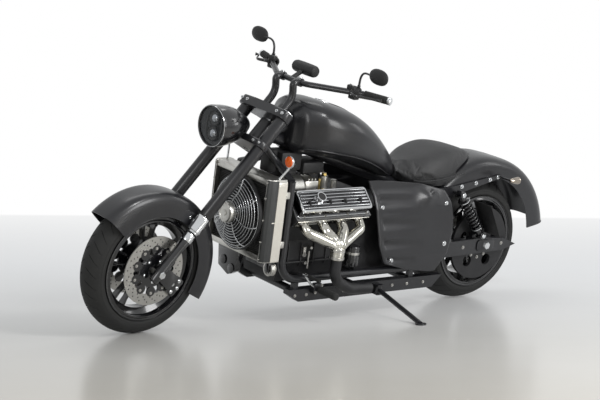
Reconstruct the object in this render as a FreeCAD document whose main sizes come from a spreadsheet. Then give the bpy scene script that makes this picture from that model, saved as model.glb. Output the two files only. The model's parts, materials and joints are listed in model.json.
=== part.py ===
import FreeCAD
import Part
import Sketcher
import math
import os

# Black V8 cruiser motorcycle, parked on its side stand.
# Every piece is drawn on the upright bike: X forward, Y to the rider's left and
# Z up, with the rear axle over the origin. At the end the placements turn the
# bars and lean the bike until both tyres and the stand's foot touch the floor.

V = FreeCAD.Vector
Turn = FreeCAD.Rotation
Place = FreeCAD.Placement
ORIGIN = V(0, 0, 0)
X_AXIS = V(1, 0, 0)
Y_AXIS = V(0, 1, 0)
Z_AXIS = V(0, 0, 1)
FULL_TURN = 360
BOTH = (1, -1)

# Driving dimensions in millimetres and degrees

DRIVING = {
    # stance
    "wheelbase": 2027, "lean_angle": 10.8, "bar_turn": 4.7, "rake_angle": 41,
    "steering_offset": 55,
    # gaps between pieces
    "seat_gap": 0.3, "running_gap": 0.1, "moving_gap": 5, "overrun": 30,
    # tyres and rims
    "front_tyre_radius": 328, "front_tyre_width": 140, "front_crown": 76,
    "front_rim_radius": 250, "rear_tyre_radius": 332, "rear_tyre_width": 240,
    "rear_crown": 150, "rear_rim_radius": 246, "bead_height": 14, "bead_width": 24,
    "rim_wall": 8, "well_depth": 42, "hub_radius": 44, "spoke_width": 17,
    "spoke_depth": 16, "spoke_root": 11, "spoke_spread": 34, "spoke_count": 5, "axle_radius": 12,
    # brakes and drive
    "disc_radius": 165, "disc_inner_radius": 112, "disc_thickness": 5,
    "disc_place": 84, "carrier_thickness": 7, "carrier_bore": 30,
    "carrier_radius": 78, "lobe_count": 10, "lobe_place": 100, "lobe_radius": 24,
    "rear_disc_radius": 146, "pulley_radius": 194, "pulley_width": 18,
    "pulley_place": 136, "pulley_hole_radius": 30, "pulley_hole_place": 118,
    # fork
    "fork_spacing": 252, "leg_radius": 24, "leg_tail": 46, "sleeve_radius": 28,
    "sleeve_start": 192, "collar_start": 248, "collar_radius": 33,
    "collar_end": 332, "tube_radius": 31, "clamp_start": 742, "clamp_height": 34,
    "clamp_half_depth": 44, "fork_top": 968, "upper_clamp_height": 46,
    "stem_radius": 25, "neck_radius": 39, "neck_gap": 6, "cap_height": 8,
    # front fender
    "front_fender_radius": 366, "front_fender_flare": 18, "front_skirt_radius": 258,
    "front_fender_half_width": 90, "fender_wall": 4, "front_fender_start": 43,
    "front_fender_end": 210, "boss_along": 290, "boss_radius": 16,
    # rear fender
    "rear_fender_radius": 455, "rear_fender_flare": 50, "rear_skirt_radius": 356,
    "rear_fender_half_width": 146, "rear_fender_start": 40, "rear_fender_end": 170,
    # headlamp
    "lamp_radius": 98, "lamp_length": 226, "lamp_height": 975, "lamp_front_setback": 287,
    "lens_radius": 82, "lens_depth": 12, "hood_depth": 22,
    # handlebar
    "bar_radius": 14, "grip_radius": 18.5, "grip_length": 134, "grip_x_setback": 895,
    "grip_y": 330, "grip_z": 1198, "grip_end_x_setback": 948, "grip_end_z": 1194,
    "riser_y": 62, "riser_x_setback": 737, "riser_z": 1188, "riser_radius": 18,
    "riser_lift": 96, "riser_reach": 40, "riser_bend": 90,
    "gauge_x_setback": 821, "gauge_z": 1236, "gauge_radius": 30, "gauge_length": 150,
    "mirror_x_setback": 877, "mirror_y": 400, "mirror_z": 1302, "mirror_radius": 60,
    "mirror_depth": 22, "stem_thickness": 6, "switch_size": 52,
    # frame
    "frame_tube": 19, "cradle_y": 205, "cradle_front_setback": 655, "cradle_top": 800,
    "cradle_z": 256, "cradle_rear": 486, "rail_low": 148, "rail_height": 62,
    "rail_width": 44, "rail_front_setback": 705, "rail_rear": 322, "backbone_radius": 30,
    "backbone_rear": 470, "backbone_rear_z": 628,
    # engine
    "crank_z": 430, "bank_angle": 45, "engine_front": 1338, "engine_rear": 862,
    "deck_reach": 190, "head_reach": 252, "cover_reach": 306, "bank_width": 150,
    "cover_width": 132, "rib_count": 6, "rib_pitch": 17, "rib_width": 7,
    "rib_height": 5, "filler_x": 1205, "filler_radius": 27, "filler_height": 34, "cover_front": 1325, "cover_rear": 880, "pan_low": 222,
    "pan_half_width": 118, "mount_front_x": 1235, "mount_rear_x": 925, "block_half_width": 150, "valley_rise": 128,
    # exhaust
    "header_radius": 22, "port_pitch": 115, "port_front": 1277,
    "collector_x": 1112, "collector_y": 296, "collector_z": 404,
    "collector_radius": 34, "outlet_radius": 27,
    # cooling
    "radiator_front_setback": 512, "radiator_rear_setback": 615, "radiator_half": 230,
    "radiator_low": 357, "radiator_high": 756, "side_tank_width": 32,
    "core_depth": 56, "lug_width": 16, "lug_y": 211, "fan_y": 20, "fan_z": 555, "guard_radius": 172,
    "fan_radius": 154, "guard_reach": 92, "motor_radius": 52, "motor_depth": 34,
    "wire_radius": 2.2, "rib_inset": 0.6, "ring_count": 10, "blade_count": 8, "blade_pitch": 28,
    "blade_start": 34, "blade_root": 20, "blade_tip": 52,
    # tank and seat
    "tank_front_setback": 733, "tank_rear": 574, "tank_half_width": 216, "tank_top": 1106,
    "tank_low": 682, "cap_radius": 36, "seat_front": 588, "seat_rear": 50,
    "seat_half_width": 176, "seat_top": 850, "seat_low": 584,
    # side panels
    "panel_y": 252, "panel_top_y": 178, "panel_wall": 10, "panel_front": 872,
    "panel_rear": 304, "panel_low": 236, "panel_high": 722,
    # rear end
    "arm_inner": 152, "arm_width": 38, "arm_height": 80, "arm_pivot_x": 436,
    "arm_pivot_z": 318, "arm_tail": 229, "shock_y": 208, "shock_top_x": 249,
    "shock_top_z": 622, "shock_low_x": 62, "shock_low_z": 396, "spring_radius": 33,
    "damper_radius": 20, "eye_radius": 15,
    # stand
    "stand_pivot_x": 774, "stand_pivot_y": 250, "stand_boss_height": 32,
    "stand_boss_radius": 18, "stand_ear": 8, "stand_gap": 1.5, "stand_pivot_z": 176,
    "stand_foot_x": 822, "stand_foot_y": 640, "stand_radius": 12,
    "foot_radius": 27, "foot_height": 8, "stand_pin_radius": 8,
    # small gear
    "caliper_low": -30, "caliper_high": 70, "caliper_back": 14,
    "backbone_front_x_setback": 777, "backbone_front_z": 880, "backbone_mid_x": 860,
    "backbone_mid_z": 750, "down_x_setback": 675, "carb_height": 70, "carb_x": 1100,
    "shroud_depth": 20, "cap_z": 1082, "strut_tail": 80, "strut_tail_z": 690,
    "lamp_tail_x": -72, "lamp_tail_y": 250, "plate_x": 12, "plate_y": 168,
    "plate_z": 402, "plate_lean": 30, "plate_width": 132, "plate_height": 200,
    "indicator_x_setback": 590, "indicator_y": 250, "indicator_z": 848,
    "indicator_radius": 26, "peg_x": 1165, "peg_z": 212, "peg_length": 165,
    "lever_x": 1258, "lever_z": 290, "toe_length": 120, "gearbox_rear": 474,
    "gearbox_high": 560, "horn_radius": 34, "pulley_low": 200,
}


class Size(float):
    """A number that also remembers how the sheet works it out."""

    def __new__(cls, value, text):
        size = super().__new__(cls, value)
        size.text = text
        return size

    @staticmethod
    def words(other):
        return other.text if isinstance(other, Size) else repr(float(other))

    def joined(self, sign, other, value):
        return Size(value, "(" + self.text + sign + Size.words(other) + ")")

    def __add__(self, other):
        return self.joined(" + ", other, float(self) + float(other))

    def __sub__(self, other):
        return self.joined(" - ", other, float(self) - float(other))

    def __mul__(self, other):
        return self.joined(" * ", other, float(self) * float(other))

    def __truediv__(self, other):
        return self.joined(" / ", other, float(self) / float(other))

    def __neg__(self):
        return Size(-float(self), "(0 - " + self.text + ")")

    def __radd__(self, other):
        return self + other

    def __rmul__(self, other):
        return self * other

    def __rsub__(self, other):
        return -self + other


doc = FreeCAD.newDocument("Cruiser")
sheet = doc.addObject("Spreadsheet::Sheet", "Sizes")


class Driving:
    """The driving dimensions, read back from the sheet by name."""

    def __init__(self, table):
        for row, (name, value) in enumerate(table.items(), start=1):
            cell = "A" + str(row)
            sheet.set(cell, str(value))
            sheet.setAlias(cell, name)
        doc.recompute()
        for name in table:
            setattr(self, name, Size(float(getattr(sheet, name)), "Sizes." + name))


d = Driving(DRIVING)

# Places that keep their distance behind the front axle

for followed in (
    "lamp_front", "grip_x", "grip_end_x", "riser_x", "gauge_x", "mirror_x",
    "cradle_front", "rail_front", "radiator_front", "radiator_rear", "tank_front",
    "backbone_front_x", "down_x", "indicator_x",
):
    setattr(d, followed, d.wheelbase - getattr(d, followed + "_setback"))
d.radiator_depth = d.radiator_front - d.radiator_rear
parts = {}


def keep(node, obj, place=None):
    """Name a finished piece and seat it on the upright bike."""
    obj.Label = node
    if place is not None:
        obj.Placement = place
    parts[node] = obj
    return obj


def feature(node, shape, place=None):
    """Keep a shape that the kernel's own functions made."""
    obj = doc.addObject("Part::Feature", "Made_" + node)
    obj.Shape = shape
    return keep(node, obj, place)


def sketch_on(body, role, corners, name):
    """Draw a closed outline bound to the sheet.

    A corner is (x, y), or (x, y, through_x, through_y) where an arc reaches it.
    """
    sketch = body.newObject("Sketcher::SketchObject", name)
    plane = [f for f in body.Origin.OriginFeatures if f.Role == role][0]
    sketch.AttachmentSupport = (plane, [""])
    sketch.MapMode = "FlatFace"
    ends = [V(corner[0], corner[1], 0) for corner in corners]
    arcs = {}
    for index, corner in enumerate(corners):
        before = ends[index - 1]
        if len(corner) == 4:
            through = V(corner[2], corner[3], 0)
            turn = (through - before).cross(ends[index] - through).z
            first, last = (before, ends[index]) if turn > 0 else (ends[index], before)
            arc = Part.Arc(first, through, last)
            sketch.addGeometry(arc, False)
            arcs[index] = turn > 0
        else:
            sketch.addGeometry(Part.LineSegment(before, ends[index]), False)

    def tips(index):
        if index in arcs and not arcs[index]:
            return (2, 1)
        return (1, 2)

    for index in range(len(corners)):
        after = (index + 1) % len(corners)
        sketch.addConstraint(
            Sketcher.Constraint(
                "Coincident", index, tips(index)[1], after, tips(after)[0]
            )
        )
    for index, corner in enumerate(corners):
        for word, size in zip(("DistanceX", "DistanceY"), corner):
            rule = Sketcher.Constraint(
                word, -1, 1, index, tips(index)[1], float(size)
            )
            number = sketch.addConstraint(rule)
            if isinstance(size, Size):
                sketch.setExpression("Constraints[" + str(number) + "]", size.text)
        if index in arcs:
            bow = sketch.Geometry[index].Radius
            sketch.addConstraint(Sketcher.Constraint("Radius", index, bow))
    return sketch


def spun(node, corners, place):
    """Revolve an outline of (across, radius) corners about the local Y axis."""
    body = doc.addObject("PartDesign::Body", "Body_" + node)
    sketch = sketch_on(body, "YZ_Plane", corners, "Profile_" + node)
    turned = body.newObject("PartDesign::Revolution", "Turned_" + node)
    turned.Profile = sketch
    turned.ReferenceAxis = (sketch, ["H_Axis"])
    turned.Angle = FULL_TURN
    return keep(node, body, place)


# Shapes made along paths and through sections

BEND_SHARE = 0.48
SECTION_POINTS = 16


def rod(start, end, radius):
    """Return a round bar between two points."""
    run = end - start
    return Part.makeCylinder(radius, run.Length, start, run)


def cone(start, end, first_radius, last_radius):
    """Return a tapering round bar between two points."""
    run = end - start
    return Part.makeCone(first_radius, last_radius, run.Length, start, run)


def pipe(points, radius, bend):
    """Return a round bar through points, with tangent arcs of one radius."""
    edges = []
    here = points[0]
    for before, corner, after in zip(points, points[1:], points[2:]):
        inward = (corner - before).normalize()
        outward = (after - corner).normalize()
        half = inward.getAngle(outward) / 2
        room = min((corner - before).Length, (after - corner).Length)
        reach = min(bend * math.tan(half), room * BEND_SHARE)
        arc_radius = reach / math.tan(half)
        first = corner - inward * reach
        last = corner + outward * reach
        middle = (outward - inward).normalize()
        centre = corner + middle * (arc_radius / math.cos(half))
        edges.append(Part.LineSegment(here, first).toShape())
        edges.append(Part.Arc(first, centre - middle * arc_radius, last).toShape())
        here = last
    edges.append(Part.LineSegment(here, points[-1]).toShape())
    wire = Part.Wire(edges)
    ring = Part.Wire([Part.makeCircle(radius, points[0], points[1] - points[0])])
    return wire.makePipeShell([ring], True, True)


def prism(points, run):
    """Return the solid that a closed flat outline sweeps along a run."""
    face = Part.Face(Part.makePolygon(points + points[:1]))
    return face.extrude(run)


def side_plate(outline, inner_y, thickness):
    """Return a plate with a side view outline of (x, z), from one y outward."""
    return prism([V(x, inner_y, z) for x, z in outline], Y_AXIS * thickness)


def mirrored(shape):
    """Return a shape's image on the other side of the bike."""
    return shape.mirror(ORIGIN, Y_AXIS)


def pair(shape):
    """Return a shape together with its image on the other side."""
    return Part.makeCompound([shape, mirrored(shape)])


def fused(shapes):
    """Return shapes joined into one."""
    whole = shapes[0]
    for shape in shapes[1:]:
        whole = whole.fuse(shape)
    return whole.removeSplitter()


def cross_section(x, low, high, half_width, share):
    """Return a rounded outline across the bike; a smaller share is squarer."""
    middle = (low + high) / 2
    rise = (high - low) / 2
    points = []
    for step in range(SECTION_POINTS):
        angle = 2 * math.pi * step / SECTION_POINTS
        across = math.copysign(abs(math.cos(angle)) ** share, math.cos(angle))
        up = math.copysign(abs(math.sin(angle)) ** share, math.sin(angle))
        points.append(V(x, half_width * across, middle + rise * up))
    curve = Part.BSplineCurve()
    curve.interpolate(points, PeriodicFlag=True)
    return Part.Wire([curve.toShape()])


# Places that many pieces share

RAKE = math.radians(d.rake_angle)
UP_LEG = V(-math.sin(RAKE), 0, math.cos(RAKE))
AHEAD = V(math.cos(RAKE), 0, math.sin(RAKE))
FRONT_AXLE = V(d.wheelbase, 0, d.front_tyre_radius)
REAR_AXLE = V(0, 0, d.rear_tyre_radius)
LEG_Y = d.fork_spacing / 2
FAN = V(d.radiator_front, d.fan_y, d.fan_z)
FRONT_WHEEL = Place(FRONT_AXLE, Turn())
REAR_WHEEL = Place(REAR_AXLE, Turn())


def on_fork(along, ahead, across):
    """Return a point by its run up the fork, its place ahead of it and across."""
    return FRONT_AXLE + UP_LEG * along + AHEAD * ahead + Y_AXIS * across


# Wheels

CROWN_SHARE = 0.9
BULGE_SHARE = 0.62
TYRE_BASE_SHARE = 0.35
CHANNEL_SHARES = (0.62, 0.34)


def tyre(node, radius, width, crown, rim, place):
    """Make one tyre: an arc for its crown, rounded walls and flat beads."""
    half = width / 2
    lean = math.asin(min(CROWN_SHARE * half / crown, 1))
    edge_y = crown * math.sin(lean)
    edge_r = radius - crown * (1 - math.cos(lean))
    base = half - d.bead_width * TYRE_BASE_SHARE
    side_r = rim + (edge_r - rim) * BULGE_SHARE / 2
    toe = base - d.bead_width
    floor = rim - d.bead_height
    corners = [
        (edge_y, edge_r, 0.0, radius),
        (base, rim, half, side_r),
        (base, floor),
        (toe, floor),
        (toe, rim),
        (-toe, rim),
        (-toe, floor),
        (-base, floor),
        (-base, rim),
        (-edge_y, edge_r, -half, side_r),
    ]
    return spun(node, corners, place)


def rim(node, radius, width, reach, place):
    """Make one cast wheel: channel, spokes and a bored hub."""
    half = width / 2 - d.bead_width * TYRE_BASE_SHARE - d.seat_gap
    toe = half - d.bead_width - 2 * d.seat_gap
    seat = radius - d.bead_height - d.seat_gap
    well = radius - d.well_depth
    wide, narrow = (half * share for share in CHANNEL_SHARES)
    profile = [
        (half + d.rim_wall, radius), (half + d.rim_wall, seat - d.rim_wall),
        (wide, seat - d.rim_wall), (narrow, well - d.rim_wall),
        (-narrow, well - d.rim_wall), (-wide, seat - d.rim_wall),
        (-half - d.rim_wall, seat - d.rim_wall), (-half - d.rim_wall, radius),
        (-half - d.seat_gap, radius), (-half - d.seat_gap, seat),
        (-wide, seat), (-narrow, well), (narrow, well), (wide, seat),
        (half + d.seat_gap, seat), (half + d.seat_gap, radius),
    ]
    channel = prism_ring([V(0, y, r) for y, r in profile])
    hub = Part.makeCylinder(d.hub_radius, reach * 2, V(0, -reach, 0), Y_AXIS)
    solids = [channel, hub]
    tip = well - d.rim_wall / 2
    for number in range(round(d.spoke_count)):
        for side in BOTH:
            spoke = prism(
                [
                    V(d.spoke_root * side - d.spoke_width / 2, -d.spoke_depth, 0),
                    V(d.spoke_root * side + d.spoke_width / 2, -d.spoke_depth, 0),
                    V(d.spoke_root * side + d.spoke_width / 2, d.spoke_depth, 0),
                    V(d.spoke_root * side - d.spoke_width / 2, d.spoke_depth, 0),
                ],
                V((d.spoke_spread - d.spoke_root) * side, 0, tip),
            )
            spoke.rotate(ORIGIN, Y_AXIS, FULL_TURN * number / round(d.spoke_count))
            solids.append(spoke)
    bore = Part.makeCylinder(
        d.axle_radius + d.running_gap, width * 2, V(0, -width, 0), Y_AXIS
    )
    return feature(node, fused(solids).cut(bore), place)


def prism_ring(points):
    """Return the ring that a flat outline sweeps about the local Y axis."""
    face = Part.Face(Part.makePolygon(points + points[:1]))
    return face.revolve(ORIGIN, Y_AXIS, FULL_TURN)


def washer(inner, outer, from_y, to_y):
    """Return a flat ring about the local Y axis."""
    return prism_ring(
        [V(0, from_y, inner), V(0, from_y, outer), V(0, to_y, outer), V(0, to_y, inner)]
    )


def wheels():
    """Make both tyres and rims, with what turns beside them."""
    tyre(
        "front_tyre", d.front_tyre_radius, d.front_tyre_width, d.front_crown,
        d.front_rim_radius, FRONT_WHEEL,
    )
    tyre(
        "rear_tyre", d.rear_tyre_radius, d.rear_tyre_width, d.rear_crown,
        d.rear_rim_radius, REAR_WHEEL,
    )
    front_reach = d.disc_place - d.carrier_thickness / 2
    rear_reach = d.pulley_place - d.pulley_width / 2
    rim("front_rim", d.front_rim_radius, d.front_tyre_width, front_reach, FRONT_WHEEL)
    rim("rear_rim", d.rear_rim_radius, d.rear_tyre_width, rear_reach, REAR_WHEEL)
    disc = washer(
        d.disc_inner_radius, d.disc_radius,
        d.disc_place - d.disc_thickness / 2, d.disc_place + d.disc_thickness / 2,
    )
    carrier = washer(
        d.carrier_bore, d.carrier_radius,
        d.disc_place - d.carrier_thickness / 2, d.disc_place + d.carrier_thickness / 2,
    )
    lobes = []
    for number in range(round(d.lobe_count)):
        angle = 2 * math.pi * number / round(d.lobe_count)
        centre = V(
            d.lobe_place * math.sin(angle), d.disc_place - d.carrier_thickness / 2,
            d.lobe_place * math.cos(angle),
        )
        lobes.append(
            Part.makeCylinder(d.lobe_radius, d.carrier_thickness, centre, Y_AXIS)
        )
    carrier = fused([carrier] + lobes)
    feature("front_discs", pair(disc.cut(carrier)), FRONT_WHEEL)
    feature("disc_carriers", pair(carrier), FRONT_WHEEL)
    pulley = washer(
        d.carrier_bore, d.pulley_radius,
        d.pulley_place - d.pulley_width / 2, d.pulley_place + d.pulley_width / 2,
    )
    for number in range(round(d.spoke_count)):
        angle = 2 * math.pi * number / round(d.spoke_count)
        centre = V(
            d.pulley_hole_place * math.sin(angle), 0,
            d.pulley_hole_place * math.cos(angle),
        )
        hole = Part.makeCylinder(
            d.pulley_hole_radius, d.rear_tyre_width, centre, Y_AXIS
        )
        pulley = pulley.cut(hole)
    feature("drive_pulley", pulley, REAR_WHEEL)
    rear_disc = washer(
        d.carrier_bore, d.rear_disc_radius,
        -rear_reach - d.disc_thickness, -rear_reach,
    )
    feature("rear_disc", rear_disc, REAR_WHEEL)


# Fork and what it carries


def fork():
    """Make legs, sleeves, clamps and the front axle."""
    blacks = []
    chromes = []
    for side in BOTH:
        y = LEG_Y * side
        leg = rod(on_fork(-d.leg_tail, 0, y), on_fork(d.sleeve_start, 0, y), d.leg_radius)
        axle_hole = Part.makeCylinder(
            d.axle_radius, d.leg_radius * 4, FRONT_AXLE + Y_AXIS * (y - d.leg_radius * 2),
            Y_AXIS,
        )
        blacks.append(leg.cut(axle_hole))
        blacks.append(
            rod(on_fork(d.collar_end, 0, y), on_fork(d.fork_top, 0, y), d.tube_radius)
        )
        chromes.append(
            fused(
                [
                    rod(
                        on_fork(d.sleeve_start, 0, y), on_fork(d.collar_start, 0, y),
                        d.sleeve_radius,
                    ),
                    rod(
                        on_fork(d.collar_start, 0, y), on_fork(d.collar_end, 0, y),
                        d.collar_radius,
                    ),
                ]
            )
        )
    feature("fork_tubes", Part.makeCompound(blacks))
    feature("fork_sleeves", Part.makeCompound(chromes))
    lower_top = d.clamp_start + d.clamp_height
    upper_low = d.fork_top - d.upper_clamp_height - d.cap_height
    upper_top = d.fork_top - d.cap_height
    plates = []
    for low, high in ((d.clamp_start, lower_top), (upper_low, upper_top)):
        half_y = LEG_Y + d.tube_radius + d.cap_height
        corners = [
            on_fork(low, d.clamp_half_depth, half_y),
            on_fork(low, d.clamp_half_depth, -half_y),
            on_fork(low, -d.clamp_half_depth, -half_y),
            on_fork(low, -d.steering_offset - d.clamp_half_depth, -d.neck_radius),
            on_fork(low, -d.steering_offset - d.clamp_half_depth, d.neck_radius),
            on_fork(low, -d.clamp_half_depth, half_y),
        ]
        plates.append(prism(corners, UP_LEG * (high - low)))
    stem = rod(
        on_fork(d.clamp_start, -d.steering_offset, 0),
        on_fork(upper_top, -d.steering_offset, 0), d.stem_radius,
    )
    clamps = fused(plates + [stem])
    for side in BOTH:
        bore = rod(
            on_fork(0, 0, LEG_Y * side), on_fork(d.fork_top * 2, 0, LEG_Y * side),
            d.tube_radius,
        )
        clamps = clamps.cut(bore)
    feature("triple_clamps", clamps)
    axle_reach = LEG_Y + d.leg_radius
    feature(
        "front_axle",
        rod(FRONT_AXLE - Y_AXIS * axle_reach, FRONT_AXLE + Y_AXIS * axle_reach, d.axle_radius),
    )
    calipers()


def calipers():
    """Make the two front brake calipers behind the legs."""
    blocks = []
    reach = d.disc_radius - CALIPER_BITE_SHARE * (d.disc_radius - d.disc_inner_radius)
    for side in BOTH:
        slot = d.disc_thickness / 2 + d.moving_gap
        outer = LEG_Y - d.leg_radius - d.seat_gap
        inner = d.disc_place - slot - d.carrier_thickness
        block = prism(
            [
                on_fork(d.caliper_low, -reach, inner),
                on_fork(d.caliper_high, -reach, inner),
                on_fork(d.caliper_high, -d.disc_radius - d.caliper_back, inner),
                on_fork(d.caliper_low, -d.disc_radius - d.caliper_back, inner),
            ],
            Y_AXIS * (outer - inner),
        )
        disc_room = Part.makeCylinder(
            d.disc_radius + d.moving_gap, slot * 2,
            FRONT_AXLE + Y_AXIS * (d.disc_place - slot), Y_AXIS,
        )
        block = block.cut(disc_room)
        bracket = prism(
            [
                on_fork(d.caliper_low, -reach, outer - d.carrier_thickness),
                on_fork(d.caliper_high, -reach, outer - d.carrier_thickness),
                on_fork(d.caliper_high, ORIGIN.x, outer - d.carrier_thickness),
                on_fork(-d.leg_radius, ORIGIN.x, outer - d.carrier_thickness),
            ],
            Y_AXIS * (LEG_Y - outer + d.carrier_thickness),
        )
        leg = rod(
            on_fork(-d.leg_tail * 2, 0, LEG_Y), on_fork(d.sleeve_start, 0, LEG_Y),
            d.leg_radius,
        )
        block = biggest(fused([block, bracket]).cut(leg))
        blocks.append(block if side > 0 else mirrored(block))
    feature("front_calipers", Part.makeCompound(blocks))


CALIPER_BITE_SHARE = 0.9


# Fenders

ARCH_STATIONS = 7
ARCH_POINTS = 9
ARCH_ROUND_SHARE = 0.45


def arch_outline(centre, angle, outer, skirt, half_width, wall):
    """Return one closed section of a fender: a rounded channel of even wall."""
    away = V(math.cos(angle), 0, math.sin(angle))
    rows = []
    for inset in (0, wall):
        points = []
        for step in range(ARCH_POINTS):
            turn = math.pi * step / (ARCH_POINTS - 1)
            across = math.copysign(
                abs(math.cos(turn)) ** ARCH_ROUND_SHARE, math.cos(turn)
            )
            up = math.sin(turn) ** ARCH_ROUND_SHARE if 0 < step < ARCH_POINTS - 1 else 0
            radius = skirt + (outer - inset - skirt) * up
            points.append(centre + away * radius + Y_AXIS * ((half_width - inset) * across))
        rows.append(points)
    edges = []
    curves = []
    for points in rows:
        curve = Part.BSplineCurve()
        curve.interpolate(points)
        curves.append(curve.toShape())
    edges.append(curves[0])
    edges.append(Part.LineSegment(rows[0][-1], rows[1][-1]).toShape())
    edges.append(curves[1])
    edges.append(Part.LineSegment(rows[1][0], rows[0][0]).toShape())
    return Part.Wire(Part.__sortEdges__(edges))


def arch(centre, start, end, radii, skirt, half_width):
    """Return a fender lofted through sections around a wheel."""
    outlines = []
    for step in range(ARCH_STATIONS):
        share = step / (ARCH_STATIONS - 1)
        angle = math.radians(start + (end - start) * share)
        outer = radii(share)
        outlines.append(
            arch_outline(centre, angle, outer, skirt, half_width, d.fender_wall)
        )
    return Part.makeLoft(outlines, True, False)


def fenders():
    """Make both fenders and the rear one's struts."""

    def front_radius(share):
        near_tip = max(0.0, 1 - share / FLARE_SHARE)
        return d.front_fender_radius + d.front_fender_flare * near_tip ** 2

    def rear_radius(share):
        near_tip = max(0.0, (share - FLARE_SHARE) / (1 - FLARE_SHARE))
        return d.rear_fender_radius + d.rear_fender_flare * near_tip

    front = arch(
        FRONT_AXLE, d.front_fender_start, d.front_fender_end, front_radius,
        d.front_skirt_radius, d.front_fender_half_width,
    )
    bosses = []
    for side in BOTH:
        boss = rod(
            on_fork(d.boss_along, 0, (d.front_fender_half_width - d.fender_wall) * side),
            on_fork(d.boss_along, 0, LEG_Y * side), d.boss_radius,
        )
        collar = rod(
            on_fork(d.collar_start, 0, LEG_Y * side), on_fork(d.collar_end, 0, LEG_Y * side),
            d.collar_radius,
        )
        bosses.append(biggest(boss.cut(collar)))
    feature("front_fender", fused([front] + bosses))
    rear = arch(
        REAR_AXLE, d.rear_fender_start, d.rear_fender_end, rear_radius,
        d.rear_skirt_radius, d.rear_fender_half_width,
    )
    feature("rear_fender", rear)


FLARE_SHARE = 0.5


# Headlamp


def headlamp():
    """Make the bullet lamp and its round lens."""
    front = d.lamp_front
    z = d.lamp_height
    rear = front - d.lamp_length
    profile = [
        V(front - share_x * d.lamp_length, 0, z + share_r * d.lamp_radius)
        for share_x, share_r in LAMP_SHARES
    ]
    curve = Part.BSplineCurve()
    curve.interpolate(profile)
    lens_back = front - d.hood_depth - d.lens_depth
    rim_inner = d.lens_radius
    edges = [
        curve.toShape(),
        Part.LineSegment(profile[-1], V(rear, 0, z)).toShape(),
        Part.LineSegment(V(rear, 0, z), V(lens_back, 0, z)).toShape(),
        Part.LineSegment(V(lens_back, 0, z), V(lens_back, 0, z + rim_inner)).toShape(),
        Part.LineSegment(V(lens_back, 0, z + rim_inner), V(front, 0, z + rim_inner)).toShape(),
        Part.LineSegment(V(front, 0, z + rim_inner), profile[0]).toShape(),
    ]
    face = Part.Face(Part.Wire(edges))
    shell = face.revolve(V(0, 0, z), X_AXIS, FULL_TURN)
    mount = rod(
        V(rear + d.stem_radius, 0, z), on_fork(d.clamp_start + d.clamp_height + d.neck_gap,
                                              d.clamp_half_depth - d.neck_gap, 0),
        d.riser_radius,
    )
    feature("headlamp_shell", fused([shell, mount]))
    lens = Part.makeCylinder(d.lens_radius, d.lens_depth, V(lens_back, 0, z), X_AXIS)
    feature("headlamp_lens", lens)


LAMP_SHARES = (
    (0.0, 1.0), (0.12, 1.0), (0.3, 0.97), (0.5, 0.86), (0.72, 0.62), (0.9, 0.34),
    (1.0, 0.2),
)


# Handlebar


def handlebar():
    """Make risers, bar, grips, switch boxes, levers, mirrors and gauge pod."""
    upper_top = d.fork_top - d.cap_height
    solids = []
    for side in BOTH:
        foot = on_fork(upper_top, -d.clamp_half_depth / 2, d.riser_y * side)
        top = V(d.riser_x, d.riser_y * side, d.riser_z)
        knee = foot + UP_LEG * d.riser_lift
        crest = V(d.riser_x + d.riser_reach, d.riser_y * side, d.riser_z)
        solids.append(pipe([foot, knee, crest, top], d.riser_radius, d.riser_bend))
    inner = V(d.grip_x, d.grip_y, d.grip_z)
    outer = V(d.grip_end_x, d.grip_y + d.grip_length * GRIP_SPREAD_SHARE, d.grip_end_z)
    clamp = V(d.riser_x, d.riser_y, d.riser_z)
    half = [V(d.riser_x, 0, d.riser_z), clamp + Y_AXIS * d.riser_radius * 2, inner, outer]
    bar = pipe(half, d.bar_radius, d.riser_radius * 5)
    feature("handlebar", fused(solids + [bar, mirrored(bar)]))
    direction = (outer - inner).normalize()
    box = prism_box(inner - direction * (d.switch_size * 0.8), d.switch_size)
    grip = rod(inner + direction * d.cap_height, outer, d.grip_radius)
    grip = grip.cut(rod(inner - direction * d.switch_size, outer + direction * d.overrun,
                        d.bar_radius))
    box = box.cut(rod(inner - direction * d.overrun * 4, outer, d.bar_radius))
    lever_start = inner - direction * (d.switch_size * 0.8) + X_AXIS * (d.switch_size / 2)
    lever = pipe(
        [lever_start, lever_start + V(d.switch_size * 0.6, d.switch_size * 0.6, 0),
         outer + V(d.switch_size, 0, 0)],
        d.stem_thickness, d.switch_size,
    )
    hand = fused([grip, box, lever])
    feature("hand_controls", pair(hand))
    base = inner - direction * (d.switch_size * 0.5) + Z_AXIS * d.switch_size * 0.45
    head = V(d.mirror_x, d.mirror_y, d.mirror_z)
    top = V(base.x, base.y, head.z)
    stem = pipe([base, top - V(0, 0, d.stem_thickness), head], d.stem_thickness,
                d.switch_size)
    glass = Part.makeSphere(1)
    shape = FreeCAD.Matrix()
    shape.scale(d.mirror_depth / 2, d.mirror_radius, d.mirror_radius * 0.62)
    glass = glass.transformGeometry(shape)
    glass.translate(head + Y_AXIS * d.mirror_radius * 0.4)
    feature("mirrors", pair(fused([stem, glass])))
    pod = Part.makeCylinder(
        d.gauge_radius, d.gauge_length, V(d.gauge_x, -d.gauge_length / 2, d.gauge_z), Y_AXIS
    )
    arm = rod(
        V(d.gauge_x, 0, d.gauge_z), V(d.riser_x, 0, d.riser_z), d.bar_radius * POD_ARM_SHARE
    )
    bar_hole = rod(
        V(d.riser_x, -d.gauge_length, d.riser_z), V(d.riser_x, d.gauge_length, d.riser_z),
        d.bar_radius,
    )
    feature("gauge_pod", biggest(fused([pod, arm]).cut(bar_hole)))


GRIP_SPREAD_SHARE = 0.9
POD_ARM_SHARE = 0.8


def prism_box(centre, size):
    """Return a plain cube about a point."""
    half = size / 2
    return Part.makeBox(size, size, size, centre - V(half, half, half))


# Frame


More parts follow.
